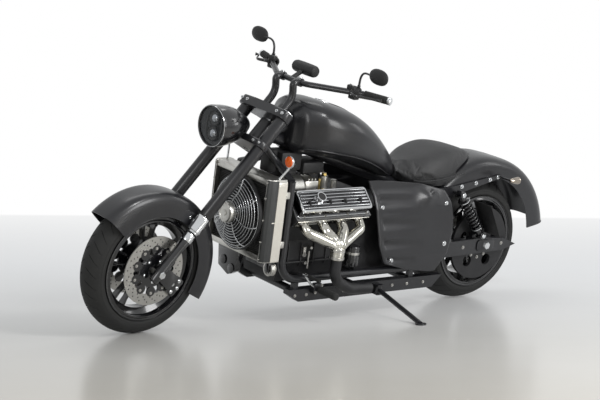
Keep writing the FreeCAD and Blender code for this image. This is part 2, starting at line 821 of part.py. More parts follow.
def frame():
    """Make the neck and backbone, and the cradle with its lower rails."""
    lower = d.clamp_start + d.clamp_height + d.neck_gap
    upper = d.fork_top - d.cap_height - d.upper_clamp_height - d.neck_gap
    low_end = on_fork(lower, -d.steering_offset, 0)
    high_end = on_fork(upper, -d.steering_offset, 0)
    neck = rod(low_end, high_end, d.neck_radius)
    behind = (low_end + high_end) / 2
    spine_line = [
        behind,
        V(d.backbone_front_x, 0, d.backbone_front_z),
        V(d.backbone_mid_x, 0, d.backbone_mid_z),
        V(d.backbone_rear, 0, d.backbone_rear_z),
    ]
    spine = pipe(spine_line, d.backbone_radius, d.backbone_radius * 8)
    cross = Part.makeCylinder(
        d.frame_tube, d.cradle_y * 2, V(d.backbone_rear, -d.cradle_y, d.backbone_rear_z),
        Y_AXIS,
    )
    downs = []
    for side in BOTH:
        downs.append(
            pipe(
                [
                    low_end + UP_LEG * d.neck_radius + V(0, d.neck_radius * 0.4 * side, 0),
                    V(d.down_x, d.neck_radius * 1.2 * side, d.cradle_top),
                    V(d.cradle_front, d.cradle_y * side, d.cradle_top - d.overrun * 2),
                ],
                d.frame_tube * 0.9, d.frame_tube * 4,
            )
        )
    bore = rod(
        low_end - UP_LEG * d.overrun * 3, high_end + UP_LEG * d.overrun * 3,
        d.stem_radius + d.seat_gap,
    )
    stay = fused([neck, spine, cross] + downs).cut(bore)
    feature("frame_backbone", stay)
    sides = []
    for side in BOTH:
        y = d.cradle_y * side
        loop = pipe(
            [
                V(d.cradle_front, y, d.cradle_top - d.overrun * 2),
                V(d.cradle_front, y, d.cradle_z),
                V(d.cradle_rear, y, d.cradle_z),
                V(d.cradle_rear, y, d.backbone_rear_z),
                V(d.backbone_rear - d.frame_tube, y, d.backbone_rear_z + d.frame_tube),
            ],
            d.frame_tube, d.frame_tube * 5,
        )
        rail = prism(
            [
                V(d.rail_front, y - d.rail_width / 2, d.rail_low + d.rail_height * 0.6),
                V(d.rail_front - d.rail_height, y - d.rail_width / 2, d.rail_low),
                V(d.rail_rear + d.rail_height, y - d.rail_width / 2, d.rail_low),
                V(d.rail_rear, y - d.rail_width / 2, d.rail_low + d.rail_height),
                V(d.rail_front, y - d.rail_width / 2, d.rail_low + d.rail_height),
            ],
            Y_AXIS * d.rail_width,
        )
        sides += [loop, rail]
        for x in (d.rail_front - d.overrun * 2, d.cradle_rear + d.overrun):
            sides.append(
                Part.makeBox(
                    d.overrun, d.rail_width / 2, d.cradle_z - d.rail_low - d.rail_height,
                    V(x, y - d.rail_width / 4, d.rail_low + d.rail_height),
                )
            )
    for x in (d.rail_front - d.overrun * 3, d.engine_rear, d.cradle_rear):
        sides.append(
            Part.makeCylinder(
                d.frame_tube, d.cradle_y * 2,
                V(x, -d.cradle_y, d.rail_low + d.rail_height / 2), Y_AXIS,
            )
        )
    arm_face = d.arm_inner + d.arm_width + d.seat_gap
    pivot = V(d.stand_pivot_x, d.stand_pivot_y, d.stand_pivot_z)
    boss_height = d.stand_boss_height
    for side in BOTH:
        lug_y = arm_face if side > 0 else -arm_face - d.frame_tube
        sides.append(
            Part.makeBox(
                d.cradle_rear - d.arm_pivot_x + d.backbone_radius, d.frame_tube,
                d.backbone_radius * 2,
                V(d.arm_pivot_x - d.backbone_radius, lug_y, d.arm_pivot_z - d.backbone_radius),
            )
        )
        ear_z = pivot.z + side * (boss_height / 2 + d.stand_ear)
        sides.append(
            Part.makeBox(
                d.stand_boss_radius * 2, pivot.y + d.stand_boss_radius - d.cradle_y, d.stand_ear,
                V(pivot.x - d.stand_boss_radius, d.cradle_y,
                  ear_z - d.stand_ear / 2 + side * d.stand_gap - side * d.stand_ear / 2),
            )
        )
    sides.append(
        rod(
            pivot - Z_AXIS * (boss_height / 2 + d.stand_ear),
            pivot + Z_AXIS * (boss_height / 2 + d.stand_ear), d.stand_pin_radius,
        )
    )
    cradle = fused(sides)
    cradle = cradle.cut(stay)
    feature("frame_cradle", cradle)
    return spine_line


# Engine


def bank_point(reach, across, x=0.0):
    """Return a point on the left bank by its reach from the crank and offset."""
    tilt = math.radians(d.bank_angle)
    return V(
        x,
        math.sin(tilt) * reach + math.cos(tilt) * across,
        d.crank_z + math.cos(tilt) * reach - math.sin(tilt) * across,
    )


def engine():
    """Make the block, heads, covers and intake of the V8."""
    run = X_AXIS * (d.engine_front - d.engine_rear)
    right_side = [
        V(d.engine_rear, d.pan_half_width, d.pan_low),
        V(d.engine_rear, d.block_half_width, d.crank_z * 0.78),
        V(d.engine_rear, d.block_half_width, d.crank_z),
    ]
    deck = [
        bank_point(d.deck_reach, d.bank_width / 2, d.engine_rear),
        bank_point(d.deck_reach, -d.bank_width / 2, d.engine_rear),
    ]
    half = right_side + deck
    outline = half + [V(p.x, -p.y, p.z) for p in reversed(half)]
    block = prism(outline, run)
    for x in (d.mount_front_x, d.mount_rear_x):
        for side in BOTH:
            block = block.fuse(
                rod(V(x, 0, d.cradle_z), V(x, d.cradle_y * side, d.cradle_z), d.frame_tube)
            )
    feature("engine_block", block.removeSplitter())

    def bank_prism(low, high, low_width, high_width, x_from, x_to):
        corners = [
            bank_point(low, low_width / 2, x_from), bank_point(high, high_width / 2, x_from),
            bank_point(high, -high_width / 2, x_from), bank_point(low, -low_width / 2, x_from),
        ]
        return prism(corners, X_AXIS * (x_to - x_from))

    head = bank_prism(
        d.deck_reach, d.head_reach, d.bank_width, d.bank_width,
        d.engine_rear + d.cap_height, d.engine_front - d.cap_height,
    )
    cover = bank_prism(
        d.head_reach, d.cover_reach, d.cover_width, d.cover_width * 0.86,
        d.cover_rear, d.cover_front,
    )
    ribs = []
    for number in range(round(d.rib_count)):
        across = (number - (round(d.rib_count) - 1) / 2) * d.rib_pitch
        corners = [
            bank_point(d.cover_reach, across + d.rib_width / 2, d.cover_rear + d.rib_pitch),
            bank_point(d.cover_reach, across - d.rib_width / 2, d.cover_rear + d.rib_pitch),
            bank_point(
                d.cover_reach + d.rib_height, across - d.rib_width / 2, d.cover_rear + d.rib_pitch
            ),
            bank_point(
                d.cover_reach + d.rib_height, across + d.rib_width / 2, d.cover_rear + d.rib_pitch
            ),
        ]
        ribs.append(prism(corners, X_AXIS * (d.cover_front - d.cover_rear - 2 * d.rib_pitch)))
    filler = rod(
        bank_point(d.cover_reach, 0, d.filler_x),
        bank_point(d.cover_reach + d.filler_height, 0, d.filler_x), d.filler_radius,
    )
    cover = fused([cover] + ribs)
    feature("cylinder_heads", pair(head))
    feature("valve_covers", Part.makeCompound([cover.fuse(filler), mirrored(cover)]))
    inner_top = bank_point(d.head_reach, -d.bank_width / 2)
    low_z = bank_point(d.deck_reach, -d.bank_width / 2).z
    intake = prism(
        [
            V(d.cover_rear, low_z * 0 + bank_point(d.deck_reach, -d.bank_width / 2).y, low_z),
            V(d.cover_rear, inner_top.y - d.seat_gap, inner_top.z),
            V(d.cover_rear, -inner_top.y + d.seat_gap, inner_top.z),
            V(d.cover_rear, -bank_point(d.deck_reach, -d.bank_width / 2).y, low_z),
        ],
        X_AXIS * (d.cover_front - d.cover_rear),
    )
    carb = Part.makeCylinder(
        d.motor_radius, d.carb_height, V(d.carb_x, 0, inner_top.z), Z_AXIS
    )
    feature("intake_manifold", fused([intake, carb]))


# Exhaust


def exhaust():
    """Make the bright headers and the dark outlets, alike on both sides."""
    collector = V(d.collector_x, d.collector_y, d.collector_z)
    mouth = collector - Z_AXIS * d.collector_radius
    port_reach = (d.deck_reach + d.head_reach) / 2
    tubes = []
    for number in range(4):
        x = d.port_front - d.port_pitch * number
        port = bank_point(port_reach, d.bank_width / 2 + d.seat_gap, x)
        out = port + (bank_point(0, 1) - bank_point(0, 0)) * (d.header_radius * 2.2)
        above = collector + Z_AXIS * d.header_radius * 2 + X_AXIS * (x - d.collector_x) * 0.12
        tubes.append(pipe([port, out, above, collector], d.header_radius, d.header_radius * 2.4))
    tubes.append(rod(collector + Z_AXIS * d.header_radius, mouth, d.collector_radius))
    flange = prism(
        [
            bank_point(port_reach - d.header_radius * 1.2, d.bank_width / 2, d.cover_rear),
            bank_point(port_reach + d.header_radius * 1.2, d.bank_width / 2, d.cover_rear),
            bank_point(
                port_reach + d.header_radius * 1.2, d.bank_width / 2 + d.cap_height, d.cover_rear
            ),
            bank_point(
                port_reach - d.header_radius * 1.2, d.bank_width / 2 + d.cap_height, d.cover_rear
            ),
        ],
        X_AXIS * (d.cover_front - d.cover_rear),
    )
    feature("exhaust_headers", pair(fused(tubes + [flange])))
    outlet = pipe(
        [
            mouth, mouth - Z_AXIS * d.collector_radius * 3,
            mouth - Z_AXIS * d.collector_radius * 4.6 - X_AXIS * d.collector_radius * 3,
            mouth - Z_AXIS * d.collector_radius * 4.8 - X_AXIS * d.collector_radius * 7,
        ],
        d.outlet_radius, d.outlet_radius * 3,
    )
    feature("exhaust_outlets", pair(outlet))


# Radiator and fan

RIB_STEPS = 6


def cooling():
    """Make the radiator, its side tanks, the fan, its motor and guard."""
    height = d.radiator_high - d.radiator_low
    depth = d.radiator_front - d.radiator_rear
    inner = d.radiator_half - d.side_tank_width
    middle = (d.radiator_front + d.radiator_rear) / 2
    core = Part.makeBox(
        d.core_depth, inner * 2, height - d.side_tank_width * 2,
        V(middle - d.core_depth / 2, -inner, d.radiator_low + d.side_tank_width),
    )
    feature("radiator_core", core)
    case = Part.makeBox(
        depth, d.radiator_half * 2, height, V(d.radiator_rear, -d.radiator_half, d.radiator_low)
    )
    window = Part.makeBox(
        depth * 2, inner * 2, height - d.side_tank_width * 2,
        V(d.radiator_rear - depth / 2, -inner, d.radiator_low + d.side_tank_width),
    )
    lugs = [
        Part.makeBox(
            d.radiator_rear - d.cradle_front, d.lug_width, d.side_tank_width,
            V(d.cradle_front, side * d.lug_y - d.lug_width / 2, z),
        )
        for side in BOTH
        for z in (d.radiator_low + d.side_tank_width * 2, d.radiator_high - d.side_tank_width * 3)
    ]
    feature("radiator_tanks", fused([case.cut(window)] + lugs))
    front = d.radiator_front
    solids = []
    shroud = Part.makeCylinder(d.guard_radius + d.cap_height, d.shroud_depth, FAN, X_AXIS)
    shroud = shroud.cut(Part.makeCylinder(d.guard_radius, d.shroud_depth, FAN, X_AXIS))
    solids.append(shroud)
    face_x = front + d.shroud_depth - d.wire_radius * 2
    reach = d.guard_reach - d.motor_depth - face_x + front

    def guard_x(radius):
        share = (d.guard_radius - radius) / (d.guard_radius - d.motor_radius)
        return face_x + reach * math.sqrt(max(share, 0.0))

    rings = round(d.ring_count)
    for number in range(rings):
        radius = d.motor_radius + (d.guard_radius - d.motor_radius) * number / (rings - 1)
        x = guard_x(radius)
        side = d.wire_radius
        ring_face = Part.Face(
            Part.makePolygon(
                [
                    FAN + V(x - front, radius - side, 0),
                    FAN + V(x - front, radius + side, 0),
                    FAN + V(x - front + side * 2, radius + side, 0),
                    FAN + V(x - front + side * 2, radius - side, 0),
                    FAN + V(x - front, radius - side, 0),
                ]
            )
        )
        solids.append(ring_face.revolve(FAN, X_AXIS, FULL_TURN))
    inner_line = []
    outer_line = []
    for step in range(RIB_STEPS + 1):
        radius = d.guard_radius + (d.motor_radius - d.guard_radius) * step / RIB_STEPS
        x = guard_x(radius) - front
        inner_line.append(FAN + V(x + d.rib_inset, -d.wire_radius, radius))
        outer_line.append(FAN + V(x + d.wire_radius * 2 - d.rib_inset, -d.wire_radius, radius))
    rib = prism(inner_line + outer_line[::-1], Y_AXIS * d.wire_radius * 2)
    for number in range(round(d.blade_count)):
        turned = rib.copy()
        turned.rotate(FAN, X_AXIS, FULL_TURN * number / round(d.blade_count))
        solids.append(turned)
    guard = fused(solids)
    motor_x = front + d.guard_reach - d.motor_depth
    motor = Part.makeCylinder(
        d.motor_radius - d.wire_radius - d.seat_gap, d.motor_depth,
        V(motor_x, d.fan_y, d.fan_z), X_AXIS,
    )
    shaft = rod(FAN + X_AXIS * d.moving_gap * 2, V(motor_x, d.fan_y, d.fan_z), d.stand_pin_radius)
    feature("fan_guard", guard)
    feature("fan_motor", fused([motor, shaft]))
    rotor_depth = motor_x - front - d.moving_gap * 2
    blade_depth = d.shroud_depth - d.moving_gap
    hub = Part.makeCylinder(
        d.motor_radius * 0.8, rotor_depth, FAN + X_AXIS * d.moving_gap, X_AXIS
    )
    blades = []
    for number in range(round(d.blade_count)):
        root = V(-d.wire_radius / 2, d.blade_root / 2, d.blade_start)
        tip = V(-d.wire_radius / 2, d.blade_tip / 2, d.fan_radius)
        blade = prism(
            [root, tip, V(tip.x, -tip.y, tip.z), V(root.x, -root.y, root.z)],
            X_AXIS * d.wire_radius,
        )
        blade.rotate(ORIGIN, Z_AXIS, d.blade_pitch)
        blade.rotate(ORIGIN, X_AXIS, FULL_TURN * number / round(d.blade_count))
        blade.translate(FAN + X_AXIS * (d.moving_gap + blade_depth / 2))
        blades.append(blade)
    room = Part.makeCylinder(d.fan_radius, blade_depth, FAN + X_AXIS * d.moving_gap, X_AXIS)
    bore = Part.makeCylinder(
        d.stand_pin_radius + d.running_gap, d.guard_reach, FAN, X_AXIS
    )
    rotor = hub.cut(bore)
    for blade in blades:
        rotor = rotor.fuse(blade.common(room))
    feature("fan_rotor", rotor)


# Tank and seat

# Each row: place along the piece, lower edge, upper edge and half width, as shares

TANK_SHARES = (
    (0.0, 0.42, 0.90, 0.38), (0.05, 0.36, 0.97, 0.66), (0.16, 0.34, 0.985, 0.88),
    (0.30, 0.31, 0.93, 0.99), (0.44, 0.27, 0.86, 1.0), (0.58, 0.21, 0.74, 0.92),
    (0.72, 0.13, 0.56, 0.78), (0.86, 0.04, 0.36, 0.54), (1.0, 0.02, 0.16, 0.16),
)
TANK_ROUND_SHARE = 0.72
SEAT_SHARES = (
    (0.0, 0.42, 0.66, 0.30), (0.14, 0.10, 0.72, 0.74), (0.32, 0.0, 0.88, 0.98),
    (0.50, 0.0, 0.99, 1.0), (0.66, 0.06, 0.97, 0.90), (0.84, 0.24, 0.88, 0.72),
    (1.0, 0.62, 0.78, 0.42),
)
SEAT_ROUND_SHARE = 0.7


def stretched(shares, front, rear, low, high, half_width, rounding):
    """Return a solid lofted through rounded sections from front to rear."""
    outlines = []
    for along, low_share, high_share, wide_share in shares:
        x = front + (rear - front) * along
        outlines.append(
            cross_section(
                x, low + (high - low) * low_share, low + (high - low) * high_share,
                half_width * wide_share, rounding,
            )
        )
    return Part.makeLoft(outlines, True, False)


def tank_and_seat(spine_line):
    """Make the fuel tank over the spine, its cap, and the saddle."""
    tank = stretched(
        TANK_SHARES, d.tank_front, d.tank_rear, d.tank_low, d.tank_top,
        d.tank_half_width, TANK_ROUND_SHARE,
    )
    gap = d.backbone_radius + d.seat_gap
    roof = [V(p.x, -gap, p.z + gap) for p in spine_line]
    roof[0] = V(d.tank_front + d.overrun, -gap, spine_line[0].z + gap)
    tunnel = prism(
        roof + [V(spine_line[-1].x, -gap, d.seat_low), V(roof[0].x, -gap, d.seat_low)],
        Y_AXIS * gap * 2,
    )
    tank = tank.cut(tunnel)
    feature("fuel_tank", tank)
    cap_x = d.tank_front + (d.tank_rear - d.tank_front) * CAP_PLACE_SHARE
    cap = Part.makeCylinder(
        d.cap_radius, d.cap_radius * 2, V(cap_x, 0, d.cap_z - d.cap_radius * 2), Z_AXIS
    )
    feature("tank_cap", cap.cut(tank))
    seat = stretched(
        SEAT_SHARES, d.seat_front, d.seat_rear, d.seat_low, d.seat_top,
        d.seat_half_width, SEAT_ROUND_SHARE,
    )
    wheel_room = Part.makeCylinder(
        d.rear_fender_radius + d.seat_gap, d.tank_half_width * 4,
        REAR_AXLE - Y_AXIS * d.tank_half_width * 2, Y_AXIS,
    )
    deck = Part.makeBox(
        d.seat_front * 2, d.tank_half_width * 4, d.seat_low,
        V(-d.seat_front / 2, -d.tank_half_width * 2, d.backbone_rear_z + d.overrun - d.seat_low),
    )
    middle = Part.makeBox(
        d.seat_front * 2, d.rear_fender_half_width * 2 + d.seat_gap * 2, d.seat_low,
        V(-d.seat_front / 2, -d.rear_fender_half_width - d.seat_gap,
          d.backbone_rear_z + d.overrun * 1.4 - d.seat_low),
    )
    seat = seat.cut(wheel_room.common(middle_room())).cut(middle)
    feature("seat", biggest(seat))


CAP_PLACE_SHARE = 0.3


def middle_room():
    """Return the space between the rear fender's outer faces."""
    half = d.rear_fender_half_width + d.seat_gap
    reach = d.rear_fender_radius * 3
    return Part.makeBox(reach * 2, half * 2, reach * 2, V(-reach, -half, -reach))


def biggest(shape):
    """Return the largest solid of a cut shape."""
    return max(shape.Solids, key=lambda solid: solid.Volume)


# Side panels

# Shares of the panel's length and height from its rear lower corner

PANEL_SHARES = (
    (1.0, 1.0), (0.94, 0.83), (0.912, 0.59), (0.875, 0.34), (0.796, 0.14), (0.52, 0.053),
    (0.174, 0.0), (0.045, 0.193), (0.004, 0.4), (0.0, 0.58), (0.032, 0.75), (0.097, 0.85),
    (0.38, 0.93),
)

# Each row: height up the panel and how far out it stands, as shares

FLARE_SHARES = ((-0.1, 0.9), (0.0, 0.95), (0.2, 1.0), (0.45, 0.9), (0.7, 0.66), (0.9, 0.2), (1.1, 0.0))


def side_panels():
    """Make the two flared panels that cover the bike's middle."""
    length = d.panel_front - d.panel_rear
    height = d.panel_high - d.panel_low
    outline = [
        (d.panel_rear + length * along, d.panel_low + height * up) for along, up in PANEL_SHARES
    ]
    blank = side_plate(outline, 0, d.panel_y * 2)
    section = [
        (d.panel_top_y + (d.panel_y - d.panel_top_y) * out, d.panel_low + height * up)
        for up, out in FLARE_SHARES
    ]
    x = d.panel_rear - d.overrun
    skin = prism(
        [V(x, y, z) for y, z in section]
        + [V(x, y - d.panel_wall, z) for y, z in reversed(section)],
        X_AXIS * (length + d.overrun * 2),
    )
    panel = blank.common(skin)
    feature("side_panel_left", panel)
    feature("side_panel_right", mirrored(panel))


# Rear end


def rear_end():
    """Make the swingarm, rear axle, shocks, struts, lamps and plate."""
    z = d.arm_pivot_z
    h = d.arm_height / 2
    outline = [
        (d.arm_pivot_x + d.backbone_radius, z - h), (d.arm_pivot_x + d.backbone_radius, z + h),
        (0, REAR_AXLE.z + h), (-d.arm_tail * 0.6, REAR_AXLE.z + h * 0.7),
        (-d.arm_tail, REAR_AXLE.z - h * 0.2), (-d.arm_tail * 0.6, REAR_AXLE.z - h * 0.9),
        (0, REAR_AXLE.z - h),
    ]
    arm = side_plate(outline, d.arm_inner, d.arm_width)
    axle_room = Part.makeCylinder(
        d.axle_radius, d.arm_inner * 6, REAR_AXLE - Y_AXIS * d.arm_inner * 3, Y_AXIS
    )
    lug = side_plate(
        [
            (d.shock_low_x - d.eye_radius * 1.6, REAR_AXLE.z + h / 2),
            (d.shock_low_x + d.eye_radius * 1.6, REAR_AXLE.z + h / 2),
            (d.shock_low_x + d.eye_radius, d.shock_low_z + d.eye_radius),
            (d.shock_low_x - d.eye_radius, d.shock_low_z + d.eye_radius),
        ],
        d.arm_inner, d.arm_width / 2,
    )
    low_eye = V(d.shock_low_x, d.shock_y, d.shock_low_z)
    top_eye = V(d.shock_top_x, d.shock_y, d.shock_top_z)
    low_pin = rod(
        V(low_eye.x, d.arm_inner + d.arm_width / 4, low_eye.z),
        low_eye - Y_AXIS * (d.damper_radius * 1.1), d.stand_pin_radius,
    )
    side = fused([arm, lug, low_pin])
    cross = Part.makeCylinder(
        d.backbone_radius, (d.arm_inner + d.arm_width) * 2,
        V(d.arm_pivot_x, -d.arm_inner - d.arm_width, z), Y_AXIS,
    )
    swing = fused([side, mirrored(side), cross]).cut(axle_room)
    feature("swingarm", swing)
    reach = d.arm_inner + d.arm_width
    feature(
        "rear_axle",
        Part.makeCylinder(d.axle_radius, reach * 2, REAR_AXLE - Y_AXIS * reach, Y_AXIS),
    )
    line = top_eye - low_eye
    damper = rod(low_eye, top_eye, d.damper_radius)
    coils = rod(low_eye + line * 0.2, low_eye + line * 0.86, d.spring_radius)
    eyes = [
        Part.makeCylinder(
            d.damper_radius, d.damper_radius * 2.2, eye - Y_AXIS * d.damper_radius * 1.1, Y_AXIS
        )
        for eye in (low_eye, top_eye)
    ]
    feature("shocks", pair(fused([damper, coils] + eyes)))
    strut_y = d.rear_fender_half_width + d.seat_gap
    strut = side_plate(
        [
            (d.cradle_rear - d.frame_tube, d.backbone_rear_z - d.frame_tube * 0.6),
            (d.cradle_rear - d.frame_tube, d.backbone_rear_z + d.frame_tube * 0.6),
            (d.shock_top_x, d.shock_top_z + d.frame_tube * 1.6),
            (-d.strut_tail, d.strut_tail_z + d.frame_tube * 0.5),
            (-d.strut_tail, d.strut_tail_z - d.frame_tube * 0.5),
            (d.shock_top_x, d.shock_top_z - d.frame_tube),
        ],
        strut_y, d.panel_wall,
    )
    strut_pin = rod(
        V(top_eye.x, strut_y + d.panel_wall / 2, top_eye.z),
        top_eye - Y_AXIS * (d.damper_radius * 1.1), d.stand_pin_radius,
    )
    feature("fender_struts", pair(fused([strut, strut_pin])))
    lamp_base = V(-d.strut_tail * 0.8, strut_y + d.panel_wall, d.strut_tail_z)
    lamp_mid = V(d.lamp_tail_x, d.lamp_tail_y, d.strut_tail_z)
    stalk = rod(lamp_base, lamp_mid, d.stem_thickness)
    bullet = cone(
        lamp_mid + X_AXIS * d.damper_radius, lamp_mid - X_AXIS * d.damper_radius * 2,
        d.damper_radius * 0.5, d.damper_radius,
    )
    feature("rear_lamps", pair(fused([stalk, bullet])))
    plate_low = V(d.plate_x, d.plate_y, d.plate_z)
    lean = math.radians(d.plate_lean)
    up = V(math.sin(lean), 0, math.cos(lean))
    back = V(-math.cos(lean), 0, math.sin(lean))
    board = prism(
        [
            plate_low, plate_low + Y_AXIS * d.plate_width,
            plate_low + Y_AXIS * d.plate_width + up * d.plate_height,
            plate_low + up * d.plate_height,
        ],
        back * d.stem_thickness,
    )
    stay = pipe(
        [
            V(d.plate_x + d.eye_radius, d.arm_inner + d.arm_width / 2, REAR_AXLE.z + h - d.stem_thickness * 0.2),
            V(d.plate_x + d.eye_radius, d.arm_inner + d.arm_width / 2, d.plate_z - d.stem_thickness),
            plate_low + Y_AXIS * d.damper_radius + up * d.overrun,
        ],
        d.stem_thickness, d.eye_radius,
    )
    feature("plate_bracket", fused([board, stay]).cut(swing))


# Lights, controls and small gear


def small_gear():
    """Make indicators, foot controls, oil filter and front pulleys."""
    lens = V(d.indicator_x, d.indicator_y, d.indicator_z)
    bulb = cone(lens - X_AXIS * d.damper_radius * 1.6, lens, d.stem_thickness,
                d.indicator_radius)
    dome = Part.makeCylinder(d.indicator_radius, d.damper_radius * 0.7, lens, X_AXIS)
    root = V(d.radiator_rear + d.arm_width, d.cradle_y, d.radiator_high)
    arm = rod(lens - X_AXIS * d.damper_radius * 1.2, root, d.stem_thickness)
    feature("front_indicators", pair(fused([bulb, dome, arm])))
    base = V(d.peg_x, d.cradle_y + d.rail_width / 2, d.peg_z)
    block = Part.makeBox(
        d.foot_radius * 2, d.foot_radius, d.foot_radius * 2,
        base + V(-d.foot_radius, 0, -d.foot_radius),
    )
    peg = rod(base + Y_AXIS * d.foot_radius * 0.9, base + V(0, d.peg_length, 0), d.grip_radius)
    arm_end = V(d.lever_x, base.y + d.foot_radius * 0.7, d.lever_z)
    lever = rod(base + Y_AXIS * d.foot_radius * 0.7, arm_end, d.stem_thickness)
    toe = rod(arm_end - Y_AXIS * d.stem_thickness, arm_end + Y_AXIS * d.toe_length,
              d.stem_thickness * 1.3)
    feature("foot_controls", pair(fused([block, peg, lever, toe])))
    gearbox = Part.makeBox(
        d.engine_rear - d.seat_gap - d.gearbox_rear, d.block_half_width * 2,
        d.gearbox_high - d.rail_low - d.rail_height,
        V(d.gearbox_rear, -d.block_half_width, d.rail_low + d.rail_height + d.cap_height * 2),
    )
    feature("gearbox", gearbox)
    disc = Part.makeCylinder(
        d.horn_radius, d.horn_radius * 0.9,
        V(d.radiator_rear, d.cradle_y - d.overrun * 0.5, d.radiator_low - d.horn_radius - d.cap_height),
        X_AXIS,
    )
    bridge = prism(
        [
            V(d.radiator_rear, -d.cradle_y, d.radiator_low - d.seat_gap),
            V(d.radiator_rear, -d.overrun, d.radiator_low - d.seat_gap),
            V(d.radiator_rear, -d.overrun * 1.6, d.pulley_low + d.overrun),
            V(d.radiator_rear, -d.cradle_y * 0.5, d.pulley_low),
            V(d.radiator_rear, -d.cradle_y * 0.9, d.pulley_low + d.overrun),
        ],
        X_AXIS * d.arm_width,
    )
    hanger = Part.makeBox(
        d.overrun, d.overrun, d.horn_radius * 1.4 + d.cap_height,
        V(d.radiator_rear + d.cap_height, d.cradle_y - d.overrun,
          d.radiator_low - d.horn_radius * 1.4 - d.cap_height - d.seat_gap),
    )
    feature("front_gear", Part.makeCompound([bridge, fused([disc, hanger])]))


# Side stand


def stance():
    """Work out how the leaned bike turns and lifts so that both tyres touch."""
    lean = Turn(X_AXIS, -d.lean_angle)
    steer = Turn(UP_LEG, d.bar_turn)
    pivot = on_fork(0, -d.steering_offset, 0)
    steer_place = Place(pivot, Turn()) * Place(ORIGIN, steer) * Place(-pivot, Turn())
    pitch = 0.0
    lift = 0.0
    for _ in range(12):
        whole = Place(V(0, 0, lift), Turn(Y_AXIS, pitch)) * Place(ORIGIN, lean)
        front = whole * steer_place
        front_low = lowest(
            front.multVec(FRONT_AXLE), front.Rotation.multVec(Y_AXIS),
            d.front_tyre_radius, d.front_crown,
        )
        rear_low = lowest(
            whole.multVec(REAR_AXLE), whole.Rotation.multVec(Y_AXIS),
            d.rear_tyre_radius, d.rear_crown,
        )
        lift -= rear_low
        pitch += math.degrees((front_low - rear_low) / d.wheelbase)
    return Place(V(0, 0, lift), Turn(Y_AXIS, pitch)) * Place(ORIGIN, lean), steer_place


def lowest(centre, axis, radius, crown):
    """Return the height of a leaned tyre's lowest point."""
    return centre.z - (radius - crown) * math.sqrt(1 - axis.z ** 2) - crown


def side_stand(whole):
    """Make the stand's leg, drawn on the upright bike but standing on the floor."""
    back = whole.inverse()
    pivot = V(d.stand_pivot_x, d.stand_pivot_y, d.stand_pivot_z)
    foot = back.multVec(V(d.stand_foot_x, d.stand_foot_y, 0))
    floor_up = back.Rotation.multVec(Z_AXIS)
    pad = rod(foot, foot + floor_up * d.foot_height, d.foot_radius)
    ankle = foot + floor_up * (d.foot_height / 2)
    leg = rod(pivot, ankle, d.stand_radius)
    leg = leg.cut(rod(foot - floor_up * d.overrun, foot, d.foot_radius * 2))
    half = Z_AXIS * (d.stand_boss_height / 2)
    boss = rod(pivot - half, pivot + half, d.stand_boss_radius)
    bore = rod(
        pivot - Z_AXIS * d.overrun, pivot + Z_AXIS * d.overrun,
        d.stand_pin_radius + d.running_gap,
    )
    feature("side_stand", fused([leg, boss, pad]).cut(bore))


# Assembly

STEERED = (
    "fork_tubes", "fork_sleeves", "triple_clamps", "front_axle", "front_calipers",
    "front_fender", "headlamp_shell", "headlamp_lens", "handlebar", "hand_controls",
    "mirrors", "gauge_pod", "front_tyre", "front_rim", "front_discs", "disc_carriers",
)


SEATED = (
    ("fuel_tank", "frame_backbone"), ("side_panel_left", "frame_cradle"),
    ("side_panel_left", "frame_backbone"), ("side_panel_right", "frame_cradle"),
    ("side_panel_right", "frame_backbone"), ("front_calipers", "front_axle"),
    ("fender_struts", "rear_fender"), ("fender_struts", "frame_backbone"),
    ("rear_lamps", "fender_struts"), ("rear_lamps", "rear_fender"),
    ("seat", "fuel_tank"), ("seat", "rear_fender"),
    ("seat", "fender_struts"), ("seat", "frame_backbone"),
    ("hand_controls", "handlebar"), ("mirrors", "hand_controls"),
    ("engine_block", "frame_cradle"), ("radiator_tanks", "frame_cradle"),
    ("front_indicators", "radiator_tanks"),
    ("headlamp_shell", "triple_clamps"),
)


def seat_pieces():
    """Cut each piece to the face of the one that it seats on."""
    for node, neighbour in SEATED:
        obj = parts[node]
        cut = obj.Shape.cut(parts[neighbour].Shape)
        solids = [solid for solid in cut.Solids if solid.Volume > SCRAP_SHARE * cut.Volume]
        obj.Placement = Place()
        obj.Shape = Part.makeCompound(solids)


SCRAP_SHARE = 0.02


def main():
    """Build every piece, stand the bike on the floor and write the solids."""
    wheels()
    fork()
    fenders()
    headlamp()
    handlebar()
    spine_line = frame()
    engine()
    exhaust()
    cooling()
    tank_and_seat(spine_line)
    side_panels()
    rear_end()
    small_gear()
    whole, steer_place = stance()
    side_stand(whole)
    doc.recompute()
    seat_pieces()
    for node, obj in parts.items():
        place = whole * steer_place if node in STEERED else whole
        obj.Placement = place * obj.Placement
    doc.recompute()
    low = V(math.inf, math.inf, math.inf)
    high = -low
    for obj in parts.values():
        box = obj.Shape.optimalBoundingBox(False, False)
        low = V(min(low.x, box.XMin), min(low.y, box.YMin), min(low.z, box.ZMin))
        high = V(max(high.x, box.XMax), max(high.y, box.YMax), max(high.z, box.ZMax))
    centre = Place(V(-(low.x + high.x) / 2, -(low.y + high.y) / 2, 0), Turn())
    for obj in parts.values():
        obj.Placement = centre * obj.Placement
    doc.recompute()
    for obj in doc.Objects:
        if "Invalid" in obj.State or "Error" in obj.State:
            raise RuntimeError("failed object: " + obj.Name)
    os.makedirs("parts", exist_ok=True)
    for node, obj in parts.items():
        if obj.Shape.isNull() or not obj.Shape.isValid():
            raise RuntimeError("bad shape: " + node)
        obj.Shape.exportStep("parts/" + node + ".step")
    print("pieces", len(parts), "shift", centre.Base, "lift", whole.Base)
    print("size", high - low, "low", low)


main()
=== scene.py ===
"""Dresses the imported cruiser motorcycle: studio, finishes and detailed pieces."""

